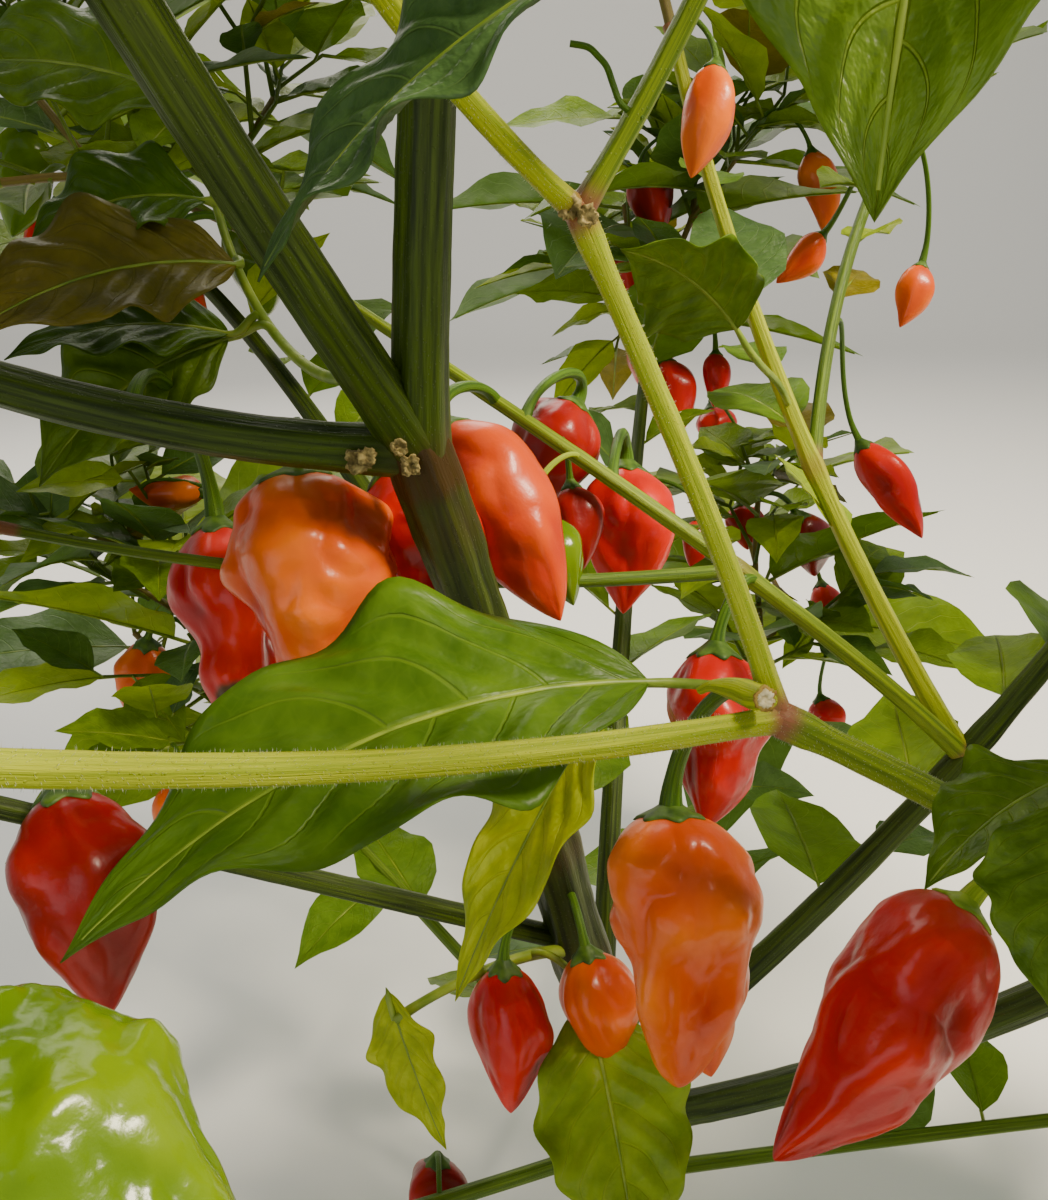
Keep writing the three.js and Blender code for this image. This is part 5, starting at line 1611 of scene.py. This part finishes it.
def pod_lift(angle, height, pod, dents):
    """How far a pod's skin stands out from its plain form, as a share of its half width."""
    around = NOISE_PLACE["around"]
    spot = Vector((math.cos(angle) * around, math.sin(angle) * around, height))
    broad = noise.noise(spot * BROAD_DENT["often"])
    crease = abs(noise.noise(spot * CREASE["often"])) - CREASE["middle"]
    lobe = POD_FORM["lobe"] * math.cos(POD_FORM["lobes"] * angle + pod["length"])
    lift = LOBE_SHARE * lobe
    lift += dents[0] * (BROAD_DENT["depth"] * broad + CREASE["depth"] * crease)
    for dent, bump in zip(dents[1:], (BUMP, FINE_BUMP)):
        lift += dent * bump["depth"] * noise.noise(spot * bump["often"])
    return lift


def pod_body(pod, rings, sides, dents):
    """Corners, faces and painted shading of one pod's skin: shade in its furrows and a highlight on its
    swellings. Its wrinkles are a few millimetres across.
    """
    ahead, length = pod["ahead"], pod["length"]
    side, across = frame_of(ahead)
    corners, swelling_shadings = [], []
    for ring in range(rings + 1):
        t = ring / rings
        share = 0.5 * (1 - math.cos(math.pi * t)) * CLOSER_RINGS + t * (1 - CLOSER_RINGS)
        centre = plus(pod["top"], ahead, share * length)
        bend = POD_BEND["share"] * length * math.sin(math.pi * share ** POD_BEND["lower"])
        centre = plus(centre, side, bend)
        if ring in (0, rings):
            corners.append(centre)
            swelling_shadings.append(0.0)
            continue
        quiet = min(1.0, share / QUIET_ENDS[0]) * min(1.0, (1 - share) / QUIET_ENDS[1])
        height = share * length / NOISE_PLACE["length"] + pod["seed"] * NOISE_PLACE["seed"]
        for number in range(sides):
            angle = FULL_TURN * number / sides
            out = plus(scaled(side, math.cos(angle)), across, math.sin(angle))
            lift = pod_lift(angle, height, pod, dents)
            # Sunk corners take painted shade and raised ones a painted highlight.
            swelling_shading = SWELLING_SHADING["middle"] + SWELLING_SHADING["strength"] * lift
            swelling_shadings.append(min(max(swelling_shading, 0.0), 1.0))
            corners.append(plus(centre, out, pod_radius(share, pod) * (1 + lift * quiet)))
    return corners, ring_faces(rings, sides), swelling_shadings


def horn_of(pod):
    """The second tip of a split pod, which runs out of its body near the end."""
    return dict(
        top=plus(pod["top"], pod["ahead"], pod["length"] * (1 - STALK["horn"])),
        ahead=unit(plus(pod["ahead"], HORN["lean"])), width=pod["width"] * HORN["width"],
        length=pod["length"] * (STALK["horn"] - HORN["shorter"]), seed=pod["seed"] + 2,
    )


def cap_shape(pod, sides, seed):
    """The toothed cap that lies on a pod's shoulders: a closed shell around the stalk's end."""
    side, across = frame_of(pod["ahead"])
    draw = chance_from(seed, CHANCE_OF["cap"])
    uneven = [draw(*CAP["uneven"]) for tooth in range(CAP["teeth"])]
    corners = []
    for share, height in CAP_RINGS:
        for number in range(sides if share else 1):
            angle = FULL_TURN * number / sides
            tooth = angle / FULL_TURN * CAP["teeth"]
            notch = (0.5 - 0.5 * math.cos(FULL_TURN * tooth)) ** CAP["blunt"]
            edge = 1 - CAP["notch"] * notch
            edge = edge * (1 + (uneven[int(tooth + 0.5) % CAP["teeth"]] - 1) * share)
            reach = pod["width"] * CAP["radius"] * share * (1 + (edge - 1) * min(1.0, share * 1.3) ** 2)
            out = plus(scaled(side, math.cos(angle)), across, math.sin(angle))
            down = pod["length"] * shoulder_share(reach / (pod["width"] / 2), pod)
            down += height * CAP["rise"] - CAP["sunk"]
            corners.append(plus(plus(pod["top"], pod["ahead"], down), out, reach))
    return corners, ring_faces(len(CAP_RINGS) - 1, sides), [0.0] * len(corners)


def pod_stalk(pod, thickness, steps):
    """A pod's stalk: it swells at both of its ends, and goes on into the cap."""
    path = stalk_path(pod["node"], pod["reach"], pod["ahead"], steps)
    strand = []
    for step, place in enumerate(path):
        share = step / steps
        swell = STALK_ENDS["foot"] * bell(share, STALK_ENDS["foot_reach"])
        swell += STALK_ENDS["cap"] * bell(1 - share, STALK_ENDS["cap_reach"])
        even = STALK_TAPER[0] + STALK_TAPER[1] * share
        strand.append((place, thickness / 2 * (even + swell), 0.0))
    end = plus(path[-1], pod["ahead"], IN_CAP["length"])
    return strand + [(end, thickness * IN_CAP["radius"], 0.0)]


def make_pods():
    """The pods that the photograph shows, each with its cap and stalk."""
    for number, (name, record) in enumerate(PODS.items()):
        node = foot_of(record)
        pod = dict(
            record, node=node, top=plus(node, record["reach"]), ahead=heading(*record["hang"]),
            seed=number + 1.0,
        )
        steps = NEAR_POD_STEPS if name in DEEPER_DENTS else SHOWN_POD_STEPS
        shapes = [pod_body(pod, *steps, DEEPER_DENTS.get(name, POD_DENTS))]
        if name == HORN["pod"]:
            shapes.append(pod_body(horn_of(pod), *HORN["steps"], SMALL_POD_DENTS))
        slot = POD_SLOTS[pod["colour"]]
        skin = "red orange" if name == RED_ORANGE else pod["colour"]
        lime = "lime " if name in LIME_CAPS else ""
        body = closed_piece(name + "_body", shapes, skin, [name], slot)
        if name == ROT_SPOT["pod"]:
            centre = Vector(ROT_SPOT["at"])
            aways = [(corner.co / MM - centre).length for corner in body.data.vertices]
            set_values(body.data, "blemish", [bell(away, ROT_SPOT["radius"]) for away in aways])
        cap = cap_shape(pod, CAP["sides"], number + CAP["first_seed"])
        closed_piece(name + "_cap", [cap], lime + "cap", [name], slot)
        thickness = STALK["thickness"] * pod["width"] / STALK_TO_WIDTH
        strand = pod_stalk(pod, thickness, SHOWN_STALK_STEPS)
        stems(name + "_stalk", [strand], "pod stalk", lime + "stalk", [name], slot)


def make_small_pods():
    """The smaller pods that hang among the leaves, joined by colour."""
    dealt = []
    for seed, pod in enumerate((pod for mass in masses.values() for pod in mass.pods), 1):
        colour = DEALT_COLOURS[int(chance_from(seed, CHANCE_OF["colour"])(0, 4.99))]
        dealt.append(dict(pod, top=plus(pod["node"], pod["reach"]), seed=seed, colour=colour))
    caps = []
    for colour, slot in POD_SLOTS.items():
        pods = [pod for pod in dealt + hung_pods if pod["colour"] == colour]
        shapes = [pod_body(pod, *SMALL_POD_STEPS, SMALL_POD_DENTS) for pod in pods]
        caps += [cap_shape(pod, CAP["small_sides"], pod["seed"]) for pod in pods]
        closed_piece("small_pods_" + colour, shapes, colour, MASSES, slot)
    closed_piece("small_pod_caps", caps, "cap", MASSES, "foliage")
    strands = [pod_stalk(pod, POD["stalk"], DEALT_STALK_STEPS) for pod in dealt]
    strands += [pod_stalk(pod, HUNG_STALK, HUNG_STALK_STEPS) for pod in hung_pods]
    stems("small_pod_stalks", strands, "small pod stalk", "stalk", MASSES, "foliage")


# Corky scars where leaves and pods have fallen, a cut stub, a curled stalk, and fine hairs.
SCAR_RINGS = (
    (0.0, 0.5), (0.3, 0.4), (0.55, 0.75), (0.8, 1.0), (0.97, 0.7), (1.05, 0.1), (0.9, -0.6),
    (0.0, -0.8),
)
SCAR_SIDES = 36
# How rough a scar is: how far apart its places in the noise are, how often its coarse and fine
# roughness come, and how much they move its ring sideways and up.
SCAR_NOISE = dict(around=1.8, seed=3.7, fine=3.1, level=2.3)
SCAR_ROUGH = dict(reach=0.4, fine_reach=0.25, level=0.55, fine_level=0.3)
# Each scar's limb, place, outward direction, radius and height.
SCARS = (
    ("trunk", (-70.9, -57.0, 323.9), (0.4, -0.9, 0.1), 1.9, 1.5),
    ("trunk", (-68.8, -55.6, 319.8), (0.25, -0.92, 0.1), 2.2, 1.7),
    ("bough_left", (-79.9, -57.3, 320.9), (-0.1, -0.95, 0.1), 2.7, 1.5),
    ("bough_left", (-77.6, -58.0, 322.2), (0.1, -0.95, 0.3), 1.8, 1.2),
    ("bough_front_up", (-35.6, -77.4, 372.7), (-0.2, -0.97, 0.1), 2.0, 1.3),
    ("bough_front_up", (-32.7, -77.8, 371.2), (0.2, -0.97, 0.0), 1.9, 1.3),
)
# Points of the stub and of the curled stalk, each with the radius there and no tint.
CUT_STUB = [
    ((-8.0, -84.7, 279.7), 0.8, 0.0), ((-5.7, -86.1, 281.6), 1.3, 0.0),
    ((-1.6, -89.1, 282.4), 2.4, 0.0), ((1.1, -92.2, 282.6), 2.7, 0.0),
    ((2.6, -95.1, 283.5), 2.4, 0.0), ((2.8, -96.9, 284.2), 2.2, 0.0),
]
# The faces on the stub's end: their finish, and their radius and height as shares of a scar's.
CUT_FACES = (("cut_stub_rim", "cut rim", 1.0, 0.22), ("cut_stub_face", "pith", 0.76, 0.5))
CUT_SEED = 9.0
CURLED_STALK = [
    ((-23.1, -74.7, 387.4), 0.6, 0.0), ((-26.7, -73.8, 389.5), 0.6, 0.0),
    ((-28.2, -72.5, 392.7), 0.6, 0.0), ((-29.4, -71.3, 395.8), 0.6, 0.0),
    ((-31.0, -70.5, 397.6), 0.6, 0.0), ((-32.7, -70.0, 399.0), 0.6, 0.0),
    ((-35.9, -69.7, 399.6), 0.6, 0.0),
]
HAIRY = ("bough_front", "bough_front_left", "bough_front_up", "bough_front_up_left")
HAIR = {"Density": 900000.0, "Hair length": 0.7 * MM, "Hair radius": 0.035 * MM, "Seed": 5}


def scar_shape(place, out, radius, height, seed):
    """A rough corky ring with a hollow middle, seated in the stem's skin."""
    side, across = frame_of(out)
    corners = []
    for share, rise in SCAR_RINGS:
        for number in range(SCAR_SIDES if share else 1):
            angle = FULL_TURN * number / SCAR_SIDES
            x, y = (turn(angle) * share * SCAR_NOISE["around"] for turn in (math.cos, math.sin))
            spot = Vector((x, y, seed * SCAR_NOISE["seed"]))
            fine, coarse = noise.noise(spot * SCAR_NOISE["fine"]), noise.noise(spot)
            wide = 1 + SCAR_ROUGH["reach"] * coarse + SCAR_ROUGH["fine_reach"] * fine
            high = rise + SCAR_ROUGH["level"] * noise.noise(spot * SCAR_NOISE["level"])
            reach = radius * share * wide
            level = height * (high + SCAR_ROUGH["fine_level"] * fine)
            corner = plus(plus(place, side, math.cos(angle) * reach), across, math.sin(angle) * reach)
            corners.append(plus(corner, out, level))
    return corners, ring_faces(len(SCAR_RINGS) - 1, SCAR_SIDES), [0.0] * len(corners)


def make_node_details():
    for number, (limb, place, out, radius, height) in enumerate(SCARS, 1):
        shape = scar_shape(place, unit(out), radius, height, number)
        slot = "trunk_bark" if limb == "trunk" else "green_stem"
        closed_piece(f"corky_scar_{number}", [shape], "cork", [limb], slot)
    stems("cut_stub", [CUT_STUB], "stub", "young", ["bough_front"])
    end, radius, _ = CUT_STUB[-1]
    out = unit(minus(end, CUT_STUB[-2][0]))
    for name, skin, share, height in CUT_FACES:
        shape = scar_shape(end, out, radius * share, height, CUT_SEED)
        closed_piece(name, [shape], skin, ["bough_front"])
    stems("curled_stalk", [CURLED_STALK], "curl", "stalk", ["bough_front_up_right"])


def make_hairs(boughs):
    for name in HAIRY:
        values = {**HAIR, "Finish": SKINS["hair"]}
        dress(made_by(HAIRS, name + "_hairs", boughs[name].data.copy(), values), [name], "green_stem")


make_trunk()
bough_pieces = make_boughs()
make_node_details()
make_hairs(bough_pieces)
make_foliage()
make_sprays()
make_pods()
make_small_pods()

# Sizes of the backdrop and places of the lights are in metres.
BACKDROP = dict(side=4.0, front=-3.0, bend_at=2.2, bend=0.8, top=4.0, steps=12)
LIT_PLACE = (0, 0, 0.35)
LIGHTS = (
    ("key_light", (0.9, -0.35, 1.5), 0.4, 60.0, (1.0, 0.87, 0.66)),
    ("front_fill", (-0.9, -1.3, 0.7), 1.2, 8.0, (0.96, 0.98, 1.0)),
    ("back_fill", (-0.4, 1.2, 1.1), 1.0, 14.0, (1.0, 0.93, 0.8)),
)
SKY = dict(colour=(0.9, 0.92, 0.92, 1), strength=0.5)
LENS = 31.5


def backdrop():
    """A pale floor that curves up into a pale wall, well away from the plant."""
    bend_at, bend = BACKDROP["bend_at"], BACKDROP["bend"]
    profile = [(BACKDROP["front"], 0.0), (bend_at, 0.0)]
    for step in range(1, BACKDROP["steps"] + 1):
        angle = math.pi / 2 * step / BACKDROP["steps"]
        profile.append((bend_at + bend * math.sin(angle), bend * (1 - math.cos(angle))))
    profile.append((bend_at + bend, BACKDROP["top"]))
    corners = [(x, y, z) for y, z in profile for x in (-BACKDROP["side"], BACKDROP["side"])]
    faces = [(2 * i, 2 * i + 1, 2 * i + 3, 2 * i + 2) for i in range(len(profile) - 1)]
    mesh = bpy.data.meshes.new("pale_backdrop")
    mesh.from_pydata(corners, [], faces)
    for face in mesh.polygons:
        face.use_smooth = True
    made, nodes = material("backdrop_pale")
    pale = {"Base Color": (0.8, 0.8, 0.78), "Roughness": 0.9}
    mesh.materials.append(finished(made, nodes, nodes.out("ShaderNodeBsdfPrincipled", pale)))
    piece("pale_backdrop", mesh)


def stand(name, data, place, turn):
    """Stands a light or the camera in its place."""
    made = bpy.data.objects.new(name, data)
    made.location = place
    made.rotation_euler = turn
    bpy.context.scene.collection.objects.link(made)
    return made


backdrop()
for light_name, place, width, watts, colour in LIGHTS:
    light = bpy.data.lights.new(light_name, "AREA")
    light.shape = "SQUARE"
    light.size = width
    light.energy = watts
    light.color = colour
    stand(light_name, light, place, Vector(minus(LIT_PLACE, place)).to_track_quat("-Z", "Y").to_euler())
world = bpy.data.worlds.new("pale_sky")
world.use_nodes = True
sky = world.node_tree.nodes["Background"].inputs
sky["Color"].default_value = SKY["colour"]
sky["Strength"].default_value = SKY["strength"]
bpy.context.scene.world = world

# The camera looks in through the gap at the plant's front, a hand's breadth from the nearest leaf.
lens = bpy.data.cameras.new("camera")
lens.lens = LENS
lens.sensor_width = 36.0
lens.clip_start = 0.01
tilt = math.radians(90 - FRONT_GAP["dip"])
bpy.context.scene.camera = stand("camera", lens, scaled(FRONT_GAP["eye"], MM), (tilt, 0.0, 0.0))
